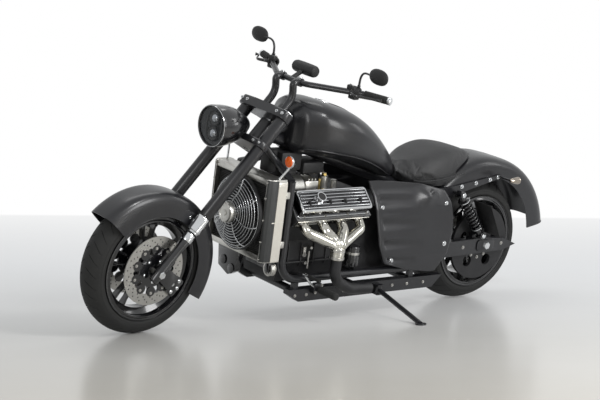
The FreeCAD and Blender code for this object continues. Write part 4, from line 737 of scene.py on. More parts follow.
@dataclass
class Wheel:
    """A cast wheel with its tyre."""

    name: str
    mount: Mount
    radius: float
    width: float
    crown: float
    rim: float
    hub_reach: float
    blocks: int
    groove: float = 0.0045
    groove_depth: float = 0.004
    sweep: float = 0.16
    spokes: int = 5

    def outline(self) -> list[tuple[float, float]]:
        """Return the tyre's section from bead to bead as (across, radius)."""
        half = self.width / 2
        lean = asin(min(0.9 * half / self.crown, 1.0))
        edge_r = self.radius - self.crown * (1 - cos(lean))
        edge_y = self.crown * sin(lean)
        base = half - 0.0084
        tread = [(self.crown * sin(t), self.radius - self.crown * (1 - cos(t)) - 0.0004)
            for t in (lean * (step / 13 * 2 - 1) for step in range(14))]
        tall = edge_r - self.rim
        wall = [(edge_y + (half - edge_y) * 0.62, edge_r - tall * 0.16), (half - 0.0012,
            edge_r - tall * 0.4), (half - 0.0006, self.rim + tall * 0.34), (half - 0.0018,
            self.rim + tall * 0.2), (half - 0.0052, self.rim + 0.0045), (base - 0.001,
            self.rim + 0.0008), (base - 0.004, self.rim - 0.006), (base - 0.02, self.rim - 0.004)]
        left = [(-y, r) for y, r in wall[::-1]]
        return left + tread + wall

    def tyre(self) -> None:
        """Make the tyre with curved grooves pressed into its tread."""
        half = self.width / 2
        lean = asin(min(0.9 * half / self.crown, 1.0))
        edge = self.crown * sin(lean)
        period = TURN / self.blocks
        wide = self.groove / self.radius
        after = wide * 1.25
        land = period - after
        stops = (0.0, wide * 0.25, wide, after, after + land * 0.34, after + land * 0.67)
        form = Form(self.mount)
        rows = []
        for y, r in self.outline():
            share = max(-1.0, min(1.0, y / edge))
            inside = 0.16 < abs(share) < 0.93 and r > self.rim + 0.01
            row = []
            for block in range(self.blocks):
                for index, stop in enumerate(stops):
                    slide = self.sweep * abs(share) ** 1.4 + (period / 2 if share < 0 else 0.0)
                    turn = block * period + stop + slide
                    depth = self.groove_depth if inside and index in (1, 2) else 0.0
                    row.append(wheel_spot(r - depth, turn, y))
            rows.append(row)
        form.rows(rows)
        form.rows([rows[0], rows[-1]])
        form.piece(f"{self.name}_tyre_dressed", RUBBER, f"{self.name}_tyre", "tyre", 26.0)
        band = Form(self.mount)
        for side in SIDES:
            for share in (0.3, 0.62):
                r = self.rim + (self.radius - self.crown * (1 - cos(lean)) - self.rim) * share
                y = side * (half - 0.0022)
                band.turned([(y - side * 0.002, r - 0.0018), (y + side * 0.0018, r - 0.0006),
                    (y + side * 0.0018, r + 0.0006), (y - side * 0.002, r + 0.0018)], steps=120,
                    loop=True)
        band.piece(f"{self.name}_tyre_ribs", RUBBER)

    def spoke(self, form: Form, turn: float, side: int, tip: float) -> None:
        """Add one bevelled arm of a split spoke."""
        around = Matrix.Rotation(turn, 4, "Y")
        rows = []
        for share in (0.0, 0.12, 0.3, 0.55, 0.8, 0.93, 1.0):
            r = 0.03 + (tip - 0.03) * share
            middle = side * (0.011 + 0.023 * share)
            wide = 0.0088 - 0.0022 * sin(pi * min(share * 1.1, 1.0))
            deep = 0.021 - 0.0075 * share + (0.004 if share > 0.9 else 0.0)
            chamfer = 0.0035
            corners = [(wide, deep - chamfer), (wide - chamfer, deep), (chamfer - wide, deep),
                (-wide, deep - chamfer), (-wide, chamfer - deep), (chamfer - wide, -deep),
                (wide - chamfer, -deep), (wide, chamfer - deep)]
            rows.append([around @ spot(middle + x, y, r) for x, y in corners])
        form.rows(rows, capped=True)

    def cast(self) -> None:
        """Make the rim's channel, its split spokes and its hub."""
        half = self.width / 2 - 0.0087
        lip = half + 0.0078
        seat = self.rim - 0.0145
        well = self.rim - 0.042
        wide, narrow = half * 0.62, half * 0.34
        side = [(narrow, well - 0.008), (wide, seat - 0.009), (lip - 0.006, seat - 0.010),
            (lip - 0.001, seat - 0.008), (lip, seat - 0.004), (lip - 0.002, seat - 0.001),
            (lip - 0.005, seat + 0.003), (lip - 0.004, self.rim - 0.004), (lip - 0.001,
            self.rim - 0.002), (lip - 0.001, self.rim - 0.0005), (lip - 0.004, self.rim),
            (lip - 0.0076, self.rim - 0.002), (half, seat), (wide, seat), (narrow, well)]
        form = Form(self.mount)
        form.turned(side + [(-y, r) for y, r in side[::-1]], steps=144, loop=True)
        for turn in around(self.spokes):
            for arm in SIDES:
                self.spoke(form, turn, arm, well - 0.004)
        reach = self.hub_reach - 0.001
        hub = mm((12.2, 0), (16, 0), (17.5, -2), (30, -2), (32, -4), (36, -12), (40, -34),
            (43, -42), (52, -48), (55, -52))
        right = [(reach + along, r) for r, along in hub]
        form.turned(right + [(-y, r) for y, r in right[::-1]], steps=64, loop=True)
        form.piece(f"{self.name}_wheel_cast", GLOSS_PAINT, f"{self.name}_rim", "rim_black", 38.0)
        shine = Form(self.mount)
        for face in SIDES:
            y = face * (lip + 0.0002)
            shine.turned([(y - face * 0.004, seat - 0.0082), (y, seat - 0.0076), (y, seat - 0.0046),
                (y - face * 0.004, seat - 0.003)], steps=144, loop=True)
        shine.piece(f"{self.name}_rim_line", GLOSS_PAINT)

    def build(self) -> None:
        """Make the whole wheel."""
        self.tyre()
        self.cast()


@dataclass
class Brakes:
    """Front discs with drilled rings, their carriers' rivets, and the calipers."""

    disc: float = 0.165
    inner: float = 0.112
    place: float = 0.084
    lobes: int = 10
    lobe_place: float = 0.100
    wave: float = 0.0035
    hole_places: Sequence[float] = (0.128, 0.139, 0.150)

    def ring(self) -> None:
        """Make both drilled brake rings with their wavy inner edges."""
        form = Form(FRONT_WHEEL)
        turns = around(240)
        for side in SIDES:
            rows = []
            for reach, y in ((self.disc, 0.0022), (self.disc, -0.0022), (self.inner, -0.0022),
                    (self.inner, 0.0022)):
                wave = self.wave if reach == self.inner else 0.0
                rows.append([wheel_spot(reach + wave * cos(t * self.lobes * 2), t, side * self.place
                    + y) for t in turns])
            form.rows(rows, loop=True)
        form.piece("front_disc_rings", STEEL, "front_discs", "bright_steel")
        # The drilled holes are drawn as thin black discs on both faces of each ring: painted shade
        # for the dark seen through the holes.
        places = [(wheel_spot(self.hole_places[number % 3], turn, side * self.place + face
            * 0.0022), Y_AXIS * face) for side in SIDES for number, turn in enumerate(around(60))
            for face in SIDES]
        scatter("front_disc_hole_shade", FRONT_WHEEL, BLACK_PLASTIC, "Cylinder", places, Vertices=14,
            Radius=0.0034, Depth=0.0004)

    def rivets(self) -> None:
        """Set the floating rivets on the carriers' lobes."""
        for name, finish, reach, turns, *size in (("disc_rivets", STEEL, self.lobe_place + 0.008,
                around(self.lobes), 0.0052, 0.004, 16), ("carrier_screws", CHROME, 0.052,
                around(5, 0.5), 0.006, 0.006)):
            places = [(wheel_spot(reach, turn, side * (self.place + 0.0035)), Y_AXIS * side)
                for side in SIDES for turn in turns]
            bolts(name, FRONT_WHEEL, finish, places, *size)
        dress(GLOSS_PAINT, "disc_carriers")

    def caliper(self) -> None:
        """Make both four-pot calipers behind the fork legs."""
        form = Form(FORK)
        body = mm((-122, 64), (-122, -26), (-173, -28), (-178, 0), (-173, 22), (-178, 50),
            (-173, 66))
        bridge = mm((-170.5, -24), (-170.5, 62), (-178, 58), (-178, -20))
        bracket = mm((-126, 60), (-126, -20), (-20, -18), (-18, 50))
        for side in SIDES:
            for outline, y, out, bevel in ((body, 0.0915, 0.0098, 0.003), (body, 0.075, -0.004,
                    0.0015), (bridge, 0.070, 0.03, 0.002), (bracket, 0.0975, 0.012, 0.003)):
                form.prism([(x, side * y, z) for x, z in outline], (0, side * out, 0), bevel)
        form.piece("calipers_dressed", GLOSS_PAINT, "front_calipers", "black_gloss", 30.0)
        places = flanks(0.102, mm((-150, -12), (-150, 50), (-130, 18), (-166, 20)))
        bolts("caliper_bolts", FORK, CHROME, places, 0.0062, 0.006)

    def build(self) -> None:
        """Make the brakes."""
        self.ring()
        self.rivets()
        self.caliper()


# Fork and steering


@dataclass
class Fork:
    """The fork's legs, sleeves, tubes and clamps."""

    spread: float = 0.126
    offset: float = 0.055
    clamp: float = 0.742
    top: float = 0.968

    def legs(self) -> None:
        """Make the dark legs, the polished sleeves and the black tubes."""
        leg = mm((-46, 0), (-46, 17), (-43, 21), (-36, 23.5), (30, 23.8), (60, 21.5), (150, 21.5),
            (166, 23.5), (192, 23.8), (192, 0))
        sleeve = mm((192, 0), (192, 26.8), (195, 27.8), (228, 27.8), (231, 26.2), (233.5, 26.2),
            (236, 27.8), (247, 27.8), (249, 30), (251.5, 32.8), (258, 33), (322, 33), (328, 32.2),
            (332, 30), (332, 0))
        tube = mm((332, 0), (332, 28.5), (336, 30.8), (959, 30.8), (959, 0))
        cap = mm((958.8, 0), (958.8, 30.2), (961, 30.6), (965, 29.8), (966.5, 27), (966.5, 14),
            (964.2, 12), (964.2, 0))
        for name, profile, finish, replaces, slot in (("fork_tubes_dressed", tube, SATIN_PAINT,
                "fork_tubes", "black_satin"), ("fork_legs_dressed", leg, GLOSS_PAINT, "",
                "black_gloss"), ("fork_sleeves_dressed", sleeve, CHROME, "fork_sleeves", "chrome"),
                ("fork_caps", cap, CHROME, "", "chrome")):
            form = Form(FORK)
            for side in SIDES:
                form.turned(profile, (0.0, side * self.spread, 0.0), Z_AXIS, 56)
            form.piece(name, finish, replaces, slot, 32.0)
        rings = Form(FORK)
        for side in SIDES:
            for along in (0.2355, 0.3325):
                lip = 0.0293 if along < 0.3 else 0.0322
                rings.turned([(along - 0.004, 0.0282), (along - 0.003, lip), (along + 0.003, lip),
                    (along + 0.004, 0.0282)], (0.0, side * self.spread, 0.0), Z_AXIS, 48, loop=True)
        rings.piece("fork_seals", RUBBER)

    def clamps(self) -> None:
        """Make both clamps as rounded plates, with their pinch bolts and the stem nut."""
        form = Form(FORK)
        for low, high, swell in ((self.clamp, self.clamp + 0.034, 0.0), (0.914, 0.960, 0.002)):
            outline = self.plate(swell)
            form.prism([(x, y, low) for x, y in outline], (0, 0, high - low), 0.0055)
        form.piece("triple_clamps_dressed", SATIN_PAINT, "triple_clamps", "black_satin", 40.0)
        nut = Form(FORK)
        nut.turned(mm((959.5, 0), (959.5, 24), (962, 25.5), (968, 24.5), (970.5, 19), (970.5, 9),
            (968, 7), (968, 0)), (-self.offset, 0, 0), Z_AXIS, 6)
        nut.rod((-self.offset, 0, self.clamp), (-self.offset, 0, 0.9595), 0.0248)
        nut.piece("steering_stem_nut", CHROME, "", "chrome")
        places = [(spot(0.046, side * (self.spread + k), z), X_AXIS) for side in SIDES
            for k, z in ((-0.02, 0.759), (0.018, 0.759), (-0.02, 0.937), (0.018, 0.937))]
        bolts("clamp_pinch_bolts", FORK, CHROME, places, 0.0055, 0.008)

    def plate(self, swell: float) -> list[tuple[float, float]]:
        """Return a clamp's outline seen along the fork, anticlockwise."""
        reach = self.spread
        front = 0.0445 + swell
        half = [(front, 0.0), (front, reach * 0.55), (front - 0.001, reach + 0.012), (front - 0.008,
            reach + 0.027), (front - 0.02, reach + 0.036), (0.008, reach + 0.0388),
            (-0.014, reach + 0.034), (-0.032, reach + 0.018), (-0.0395, reach - 0.006),
            (-0.045, reach * 0.66), (-0.066, 0.056), (-0.085, 0.037), (-0.095, 0.02), (-0.098, 0.0)]
        return half + [(x, -y) for x, y in half[-2:0:-1]]

    def ends(self) -> None:
        """Make the axle's nuts and dress the axle."""
        form = Form(FRONT_AXLE)
        for side in SIDES:
            form.turned([(side * x, r) for x, r in mm((147, 0), (147, 16.5), (147.5, 18.5),
                (154.5, 18.5), (157, 15.5), (157, 8), (154.5, 6), (154.5, 0))], (0, 0, 0), Y_AXIS,
                6 if side > 0 else 32)
        form.piece("front_axle_nuts", CHROME, "", "chrome")
        dress(STEEL, "front_axle")

    def build(self) -> None:
        """Make the fork."""
        self.legs()
        self.clamps()
        self.ends()


@dataclass
class Headlamp:
    """The bullet lamp with two round lights, one over the other."""

    front: float = 1.740
    height: float = 0.975
    length: float = 0.226
    radius: float = 0.098

    def build(self) -> None:
        """Make the shell, the rim, the face and the lights."""
        shell = Form(FRONT)
        middle = (self.front, 0, self.height)
        shares = ((0.03, 1.0), (0.12, 1.0), (0.22, 0.99), (0.36, 0.95), (0.52, 0.86), (0.68, 0.71),
            (0.82, 0.52), (0.92, 0.34), (0.98, 0.2), (1.0, 0.0))
        outer = [(-a * self.length, r * self.radius - 0.0006) for a, r in shares]
        inner = mm((-30, 0), (-30, 88), (-7, 91.5))
        shell.turned(inner + outer, middle, X_AXIS, 96)
        shell.rod((self.front - 0.2, 0, self.height), (1.5385, 0, 0.937), 0.0178, steps=32)
        shell.piece("headlamp_shell_dressed", GLOSS_PAINT, "headlamp_shell", "black_gloss", 40.0)
        rim = mm((-12, 97.5), (-9, 98.2), (-3, 97.6), (-0.4, 94.8), (-0.4, 91.2), (-4, 88.6),
            (-12, 88.5))
        line = mm((-1.2, 96.2), (0, 95.8), (0, 94.4), (-1.2, 94))
        face = mm((-31, 0), (-21.5, 30), (-21.2, 60), (-16, 84), (-14.5, 88.5), (-31, 88.5))
        for name, profile, steps, loop, finish, slot, sharp in (("rim", rim, 96, True, GLOSS_PAINT,
                "black_gloss", 50.0), ("rim_line", line, 96, True, CHROME, "chrome", 50.0),
                ("face", face, 72, False, LAMP_GREY, "lamp_black", 30.0)):
            form = Form(FRONT)
            form.turned(profile, middle, X_AXIS, steps, loop)
            form.piece(f"headlamp_{name}", finish, "", slot, sharp)
        bowls, rings, eyes = forms(FRONT, 3)
        wide = 0.033
        for z in (0.036, -0.036):
            place = (self.front, 0, self.height + z)
            bowls.turned([(-0.026, 0.0), (-0.024, wide * 0.35), (-0.012, wide * 0.94),
                (-0.014, wide * 0.98), (-0.030, wide * 0.98)], place, X_AXIS, 48)
            rings.turned([(-0.016, wide), (-0.011, wide * 1.01), (-0.0095, wide * 1.05),
                (-0.0105, wide * 1.13), (-0.018, wide * 1.13)], place, X_AXIS, 56, loop=True)
            eyes.turned([(-0.024, wide * 0.66), (-0.016, wide * 0.62), (-0.0105, wide * 0.46),
                (-0.0085, wide * 0.2), (-0.0082, 0.0)], place, X_AXIS, 40)
        bowls.piece("headlamp_bowls", DARK_PARTS_AND_SHADE)
        rings.piece("headlamp_bezels", BLACK_PLASTIC)
        eyes.piece("headlamp_eyes", LAMP_SILVER)
        bars = Form(FRONT)
        for side in SIDES:
            bars.prism([(self.front - 0.022, side * y, self.height + z) for y, z in mm((44, 52),
                (52, 40), (60, 0), (52, -40), (44, -52), (50, 0))], (0.006, 0, 0), 0.001)
        bars.piece("headlamp_bars", DARK_PARTS_AND_SHADE)
        shader = Shader("lamp_glass")
        place = shader.place()
        smear = shader.noise(place, 30.0, 3.0)
        clear = shader.finish(Base_Color=shader.mix(smear, (0.10, 0.11, 0.12), (0.16, 0.17, 0.18)),
            Roughness=smear * 0.04 + 0.02, Alpha=smear * 0.05 + 0.12, Coat_Weight=0.4)
        glass = Form(FRONT)
        glass.turned(mm((-6.2, 88.5), (-4, 75), (-2.2, 50), (-1.2, 20), (-1, 0)), middle, X_AXIS,
            72)
        glass.piece("headlamp_glass", clear, "headlamp_lens", "lens_clear")


@dataclass
class Bars:
    """Everything on the handlebar: grips, switches, levers, mirrors and the gauge."""

    grip: Point = (1.132, 0.330, 1.198)
    grip_end: Point = (1.079, 0.4506, 1.194)

    def grips(self) -> None:
        """Make the ribbed grips and their bright ends."""
        start, end = Vector(self.grip), Vector(self.grip_end)
        along = (end - start).normalized()
        length = (end - start).length
        rubber, metal = forms(FRONT, 2)
        for side in SIDES:
            a = spot(start.x, start.y * side, start.z)
            run = spot(along.x, along.y * side, along.z)
            profile = mm((10, 14.2), (10, 18.2), (16, 18.4))
            for number in range(13):
                base = 0.020 + (length - 0.034) * number / 13
                step = (length - 0.034) / 13
                profile += [(base, 0.0166), (base + step * 0.2, 0.0182), (base + step * 0.8,
                    0.0182)]
            profile += [(length - 0.012, 0.0168), (length - 0.006, 0.0184), (length - 0.004,
                0.0142)]
            rubber.turned(profile, a, run, 36, loop=True)
            metal.turned([(length - 0.005, 0.0), (length - 0.005, 0.0165), (length - 0.002, 0.0182),
                (length + 0.010, 0.0182), (length + 0.013, 0.015), (length + 0.0135, 0.0)], a, run,
                36)
        rubber.piece("grips_dressed", RUBBER, "hand_controls", "black_plastic")
        metal.piece("bar_ends", CHROME, "", "chrome")

    def controls(self) -> None:
        """Make the switch boxes, the levers and the fluid reservoirs."""
        start, end = Vector(self.grip), Vector(self.grip_end)
        along = (end - start).normalized()
        boxes, levers = forms(FRONT, 2)
        centre = start - along * 0.0416
        profile = mm((-28, 14), (-28, 19), (-24, 23.5), (-4, 24.5), (-2, 23), (2, 23), (4, 24.5),
            (22, 23.5), (27, 20), (28, 14))
        boxes.turned(profile, centre, along, 40, loop=True)
        for low, high, bevel in (((-0.016, -0.022, -0.036), (0.02, 0.022, -0.012), 0.006),
                ((-0.012, -0.016, -0.010), (0.0255, 0.016, 0.0256), 0.005), ((0.004, -0.030, 0.004),
                (0.030, 0.012, 0.030), 0.006)):
            boxes.block(centre + Vector(low), centre + Vector(high), bevel)
        pivot = centre + spot(0.026, 0.004, -0.002)
        boxes.rod(pivot + spot(0, 0, -0.010), pivot + spot(0, 0, 0.010), 0.010, bevel=0.002)
        line = smooth_line([pivot, pivot + spot(0.02, 0.02, 0), pivot + spot(0.026, 0.06, -0.001),
            end + spot(0.047, -0.02, 0), end + spot(0.050, 0.0, 0.0)], 6)
        rows = []
        for index, here in enumerate(line):
            ahead = (line[min(index + 1, len(line) - 1)] - line[max(index - 1, 0)]).normalized()
            outward = ahead.cross(Z_AXIS).normalized()
            share = index / (len(line) - 1)
            tall = 0.0085 - 0.003 * share + (0.003 if share > 0.95 else 0.0)
            rows.append([here + outward * (0.0042 * cos(t)) + Z_AXIS * (tall * sin(t))
                for t in around(14)])
        levers.rows(rows, capped=True)
        boxes.mirror().piece("switch_boxes", BLACK_PLASTIC, "", "black_plastic", 35.0)
        levers.mirror().piece("hand_levers", GLOSS_PAINT, "", "black_gloss", 35.0)
        heads = [centre + spot(0.010, -0.024, 0.030), centre + spot(0.024, 0.006, 0.030),
            pivot + spot(0, 0, 0.0105)]
        screws = [(spot(p.x, p.y * side, p.z), Z_AXIS) for side in SIDES for p in heads]
        bolts("control_screws", FRONT, STEEL, screws, 0.0032, 0.003, 16)

    def mirrors(self) -> None:
        """Make the oval mirrors on their stems."""
        housing, glass, stems = forms(FRONT, 3)
        head = spot(1.150, 0.424, 1.302)

        def oval(x: float, reach: float) -> list[Vector]:
            """Return one level of the mirror."""
            return [head + spot(x, 0.060 * signed_power(cos(t), 0.86) * reach,
                0.0372 * signed_power(sin(t), 0.9) * reach) for t in around(48)]

        housing.rows([oval(-0.011 + 0.0215 * share, reach) for share, reach in ((0.0, 0.90),
            (0.05, 0.975), (0.16, 1.0), (0.4, 0.97), (0.65, 0.84), (0.85, 0.58), (0.95, 0.32))],
            capped=True)
        glass.rows([oval(-0.0112, 0.89), oval(-0.0108, 0.87)], capped=True)
        base = spot(1.142, 0.306, 1.2215)
        line = smooth_line([base, base + spot(0.001, 0.004, 0.05), base + spot(0.004, 0.028, 0.076),
            head + spot(0.002, -0.03, -0.002)], 8)
        stems.tube(line, lambda share: 0.0058 - 0.0012 * share, 14)
        stems.rod(base - Z_AXIS * 0.004, base + Z_AXIS * 0.012, 0.0088, steps=6, bevel=0.001)
        housing.mirror().piece("mirror_housings", BLACK_PLASTIC, "mirrors", "mirror_black")
        glass.mirror().piece("mirror_glasses", CHROME)
        stems.mirror().piece("mirror_stems", SATIN_PAINT)

    def gauge(self) -> None:
        """Make the rounded gauge pod, its dark screen and the bar's clamps."""
        pod, screen, clamp = forms(FRONT, 3)
        place = spot(1.206, 0.0, 1.236)
        profile = mm((-75, 0), (-75, 18), (-71, 25), (-60, 28.5), (-20, 29.7), (30, 29.7),
            (62, 28.5), (71, 25), (75, 18), (75, 0))
        pod.turned(profile, place, Y_AXIS, 48)
        pod.rod(place, (1.29, 0, 1.188), 0.011)
        screen.block(place + spot(-0.0305, -0.055, -0.012), place + spot(-0.026, 0.055, 0.018),
            0.002)
        for side in SIDES:
            clamp.rod((1.29, side * 0.046, 1.188), (1.29, side * 0.078, 1.188), 0.0205, bevel=0.002)
        pod.piece("gauge_pod_dressed", BLACK_PLASTIC, "gauge_pod", "black_plastic")
        screen.piece("gauge_screen", LAMP_GREY)
        clamp.piece("bar_clamps", SATIN_PAINT)
        bolts("bar_clamp_bolts", FRONT, CHROME, [(spot(1.29, side * y, 1.2085), Z_AXIS)
            for side in SIDES for y in (0.053, 0.071)], 0.0042, 0.005)
        dress(SATIN_PAINT, "handlebar")

    def build(self) -> None:
        """Make the bars' fittings."""
        self.grips()
        self.controls()
        self.mirrors()
        self.gauge()


# Sheet metal and seat


def arch_rows(centre: Vector, start: float, end: float, outer: Callable[[float], float],
        skirt: float, half: float, stations: int, points: int = 33, power: float = 0.45,
        inset: float = 0.0) -> list[list[Vector]]:
    """Return the rows of a fender's skin around a wheel.

    Args:
        centre: The wheel's centre on the upright bike.
        start: The first angle in degrees above the line ahead.
        end: The last angle.
        outer: The crown's radius by the share of the run.
        skirt: The radius at the skirts.
        half: Half of the fender's width.
        stations: How many rows the fender has.
        points: How many points a row has.
        power: How square the section is.
        inset: How far the skin lies inside the outer face.

    Returns:
        The rows, each from the left skirt over the crown to the right skirt.
    """
    rows = []
    for station in range(stations):
        share = station / (stations - 1)
        turn = radians(start + (end - start) * share)
        away = spot(cos(turn), 0.0, sin(turn))
        row = []
        for step in range(points):
            t = pi * step / (points - 1)
            up = abs(sin(t)) ** power if 0 < step < points - 1 else 0.0
            reach = skirt + (outer(share) - inset - skirt) * up
            across = (half - inset) * signed_power(cos(t), power)
            row.append(centre + away * reach + Y_AXIS * across)
        rows.append(row)
    return rows


@dataclass
class Fenders:
    """The long front fender and the wide rear fender with its struts."""

    wall: float = 0.0036

    def skins(self, mount: Mount, *sizes: object, bead: float) -> Form:
        """Return a fender's two skins, with a bead along each skirt."""
        form = Form(mount)
        rows = arch_rows(*sizes)
        form.shell(rows, arch_rows(*sizes, inset=self.wall))
        for side in SIDES:
            line = [row[0 if side > 0 else -1] for row in rows]
            form.tube([point - Y_AXIS * side * (bead - 0.0005) for point in line], bead, 8)
        return form

    def front(self) -> None:
        """Make the front fender, its stays and their screws."""
        def outer(share: float) -> float:
            """Return the crown's radius at a share of the run."""
            return 0.366 + 0.018 * max(0.0, 1 - share / 0.5) ** 2

        form = self.skins(FRONT, STANCE.front_axle, 43.0, 210.0, outer, 0.258, 0.090, 49,
            bead=0.0021)
        form.piece("front_fender_dressed", SATIN_PAINT, "front_fender", "black_satin", 50.0)
        stays = Form(FORK)
        for side in SIDES:
            stays.rod((0, side * 0.088, 0.290), (0, side * 0.0945, 0.290), 0.019, bevel=0.002)
        stays.piece("fender_stays", SATIN_PAINT)
        places = flanks(0.0905, mm((-34, 278), (-34, 310), (34, 294)))
        bolts("fender_screws", FORK, CHROME, places, 0.0052, 0.005)

    def rear(self) -> None:
        """Make the rear fender and dress its struts."""
        def outer(share: float) -> float:
            """Return the crown's radius at a share of the run."""
            return 0.455 + 0.050 * max(0.0, (share - 0.5) / 0.5)

        sizes = (spot(0.0, 0.0, STANCE.axle_height), 40.0, 170.0, outer, 0.356, 0.146, 45)
        form = self.skins(BIKE, *sizes, bead=0.0023)
        form.tube(arch_rows(*sizes)[-1], 0.003, 8)
        form.piece("rear_fender_dressed", SATIN_PAINT, "rear_fender", "black_satin", 50.0)
        places = flanks(0.1568, mm((200, 648), (100, 662), (0, 676), (-56, 688)))
        bolts("strut_bolts", BIKE, CHROME, places, 0.0075, 0.009, 24)
        dress(SATIN_PAINT, "fender_struts")

    def build(self) -> None:
        """Make both fenders."""
        self.front()
        self.rear()


TANK_ROWS = ((0.0, 0.42, 0.90, 0.38), (0.05, 0.36, 0.97, 0.66), (0.16, 0.34, 0.985, 0.88),
    (0.30, 0.31, 0.93, 0.99), (0.44, 0.27, 0.86, 1.0), (0.58, 0.21, 0.74, 0.92), (0.72, 0.13, 0.56,
    0.78), (0.86, 0.04, 0.36, 0.54), (1.0, 0.02, 0.16, 0.16))
SEAT_ROWS = ((0.0, 0.42, 0.66, 0.30), (0.14, 0.10, 0.72, 0.74), (0.32, 0.0, 0.88, 0.98),
    (0.50, 0.0, 0.99, 1.0), (0.66, 0.06, 0.97, 0.90), (0.84, 0.24, 0.88, 0.72), (1.0, 0.62, 0.78,
    0.42))


@dataclass
class Loft:
    """A rounded body that runs from front to rear through named sections."""

    front: float
    rear: float
    low: float
    high: float
    half: float
    shares: Sequence[tuple[float, float, float, float]]
    power: float = 0.72

    def section(self, along: float) -> tuple[float, float, float]:
        """Return (low, high, half width) at a share of the length, smoothly."""
        rows = self.shares
        index = next((i for i in range(len(rows) - 2) if along <= rows[i + 1][0]), len(rows) - 2)
        span = [rows[max(index - 1, 0)], rows[index], rows[index + 1],
            rows[min(index + 2, len(rows) - 1)]]
        t = (along - rows[index][0]) / (rows[index + 1][0] - rows[index][0])
        low, high, wide = (eased(*(row[column] for row in span), t) for column in (1, 2, 3))
        tall = self.high - self.low
        return self.low + tall * low, self.low + tall * high, self.half * wide

    def point(self, along: float, turn: float) -> Vector:
        """Return a point of the skin by its share along and its turn about the middle."""
        low, high, half = self.section(along)
        x = self.front + (self.rear - self.front) * along
        middle = (low + high) / 2
        return Vector((x, half * signed_power(cos(turn), self.power), middle + (high - low) / 2
            * signed_power(sin(turn), self.power)))

    def line(self, side: int, turn: float, stations: range, count: int,
            lift: Vector) -> list[Vector]:
        """Return a line along one side of the skin, lifted off it a little."""
        turn = turn if side > 0 else pi - turn
        return [self.point(station / count, turn) + lift for station in stations]

    def rows(self, stations: int, points: int) -> list[list[Vector]]:
        """Return the skin's rows from front to rear."""
        return [[self.point(station / (stations - 1), TURN * (step + 0.5) / points)
            for step in range(points)] for station in range(stations)]


TANK = Loft(1.294, 0.574, 0.682, 1.106, 0.2155, TANK_ROWS)
SEAT = Loft(0.588, 0.050, 0.584, 0.850, 0.176, SEAT_ROWS, 0.7)


@dataclass
class Tank:
    """The tall narrow-backed tank with its flush cap and its console."""

    cap_x: float = 1.078

    def build(self) -> None:
        """Make the tank, its seams, the cap and the console strip."""
        form = Form(BIKE)
        rows = TANK.rows(61, 72)
        ends = []
        for row, inset in ((rows[0], 1), (rows[-1], -1)):
            middle = sum(row, Vector()) / len(row)
            ends.append([[middle + (point - middle) * share + X_AXIS * inset * reach
                for point in row] for share, reach in ((0.93, 0.005), (0.7, 0.010), (0.3, 0.012))])
        form.rows(ends[0][::-1] + rows + ends[1], capped=True)
        form.piece("fuel_tank_dressed", SATIN_PAINT, "fuel_tank", "black_satin", 60.0)
        seam = Form(BIKE)
        for side in SIDES:
            lift = spot(0, side * 0.0006, -0.0004)
            seam.tube(TANK.line(side, -0.62, range(4, 57), 60, lift), 0.0026, 8)
        seam.piece("tank_seams", SATIN_PAINT)
        console = Form(BIKE)
        strip = []
        for station in range(20, 50):
            along = station / 60
            row = []
            for across in (-1.0, -0.94, -0.6, 0.0, 0.6, 0.94, 1.0):
                turn = pi / 2 - across * (0.10 + 0.03 * sin(pi * (station - 20) / 29))
                point = TANK.point(along, turn)
                lift = 0.0 if abs(across) == 1.0 else 0.0045
                fade = min(1.0, (station - 20) / 2, (49 - station) / 2)
                row.append(point + Z_AXIS * (lift * fade - 0.0012))
            strip.append(row)
        console.rows(strip, ring=False)
        console.piece("tank_console", BLACK_PLASTIC, "", "black_plastic", 30.0)
        top, behind = (TANK.point((TANK.front - self.cap_x - shift) / (TANK.front - TANK.rear),
            pi / 2) for shift in (0.0, 0.02))
        slope = (behind - top).normalized()
        out = Y_AXIS.cross(slope)
        out = out if out.z > 0 else -out
        cap = Form(BIKE)
        cap.turned(mm((-12, 0), (-12, 36), (1.5, 36), (4.2, 34.5), (5, 31), (3.6, 29), (3.6, 24),
            (5.8, 22.5), (7, 12), (7.2, 0)), top, out, 72)
        cap.piece("tank_cap_dressed", CHROME, "tank_cap", "chrome", 40.0)
        heads = circle(top + out * 0.0036, slope, out.cross(slope), 0.0264, 6)
        bolts("cap_screws", BIKE, STEEL, [(head, out) for head in heads], 0.0018, 0.002, 12)


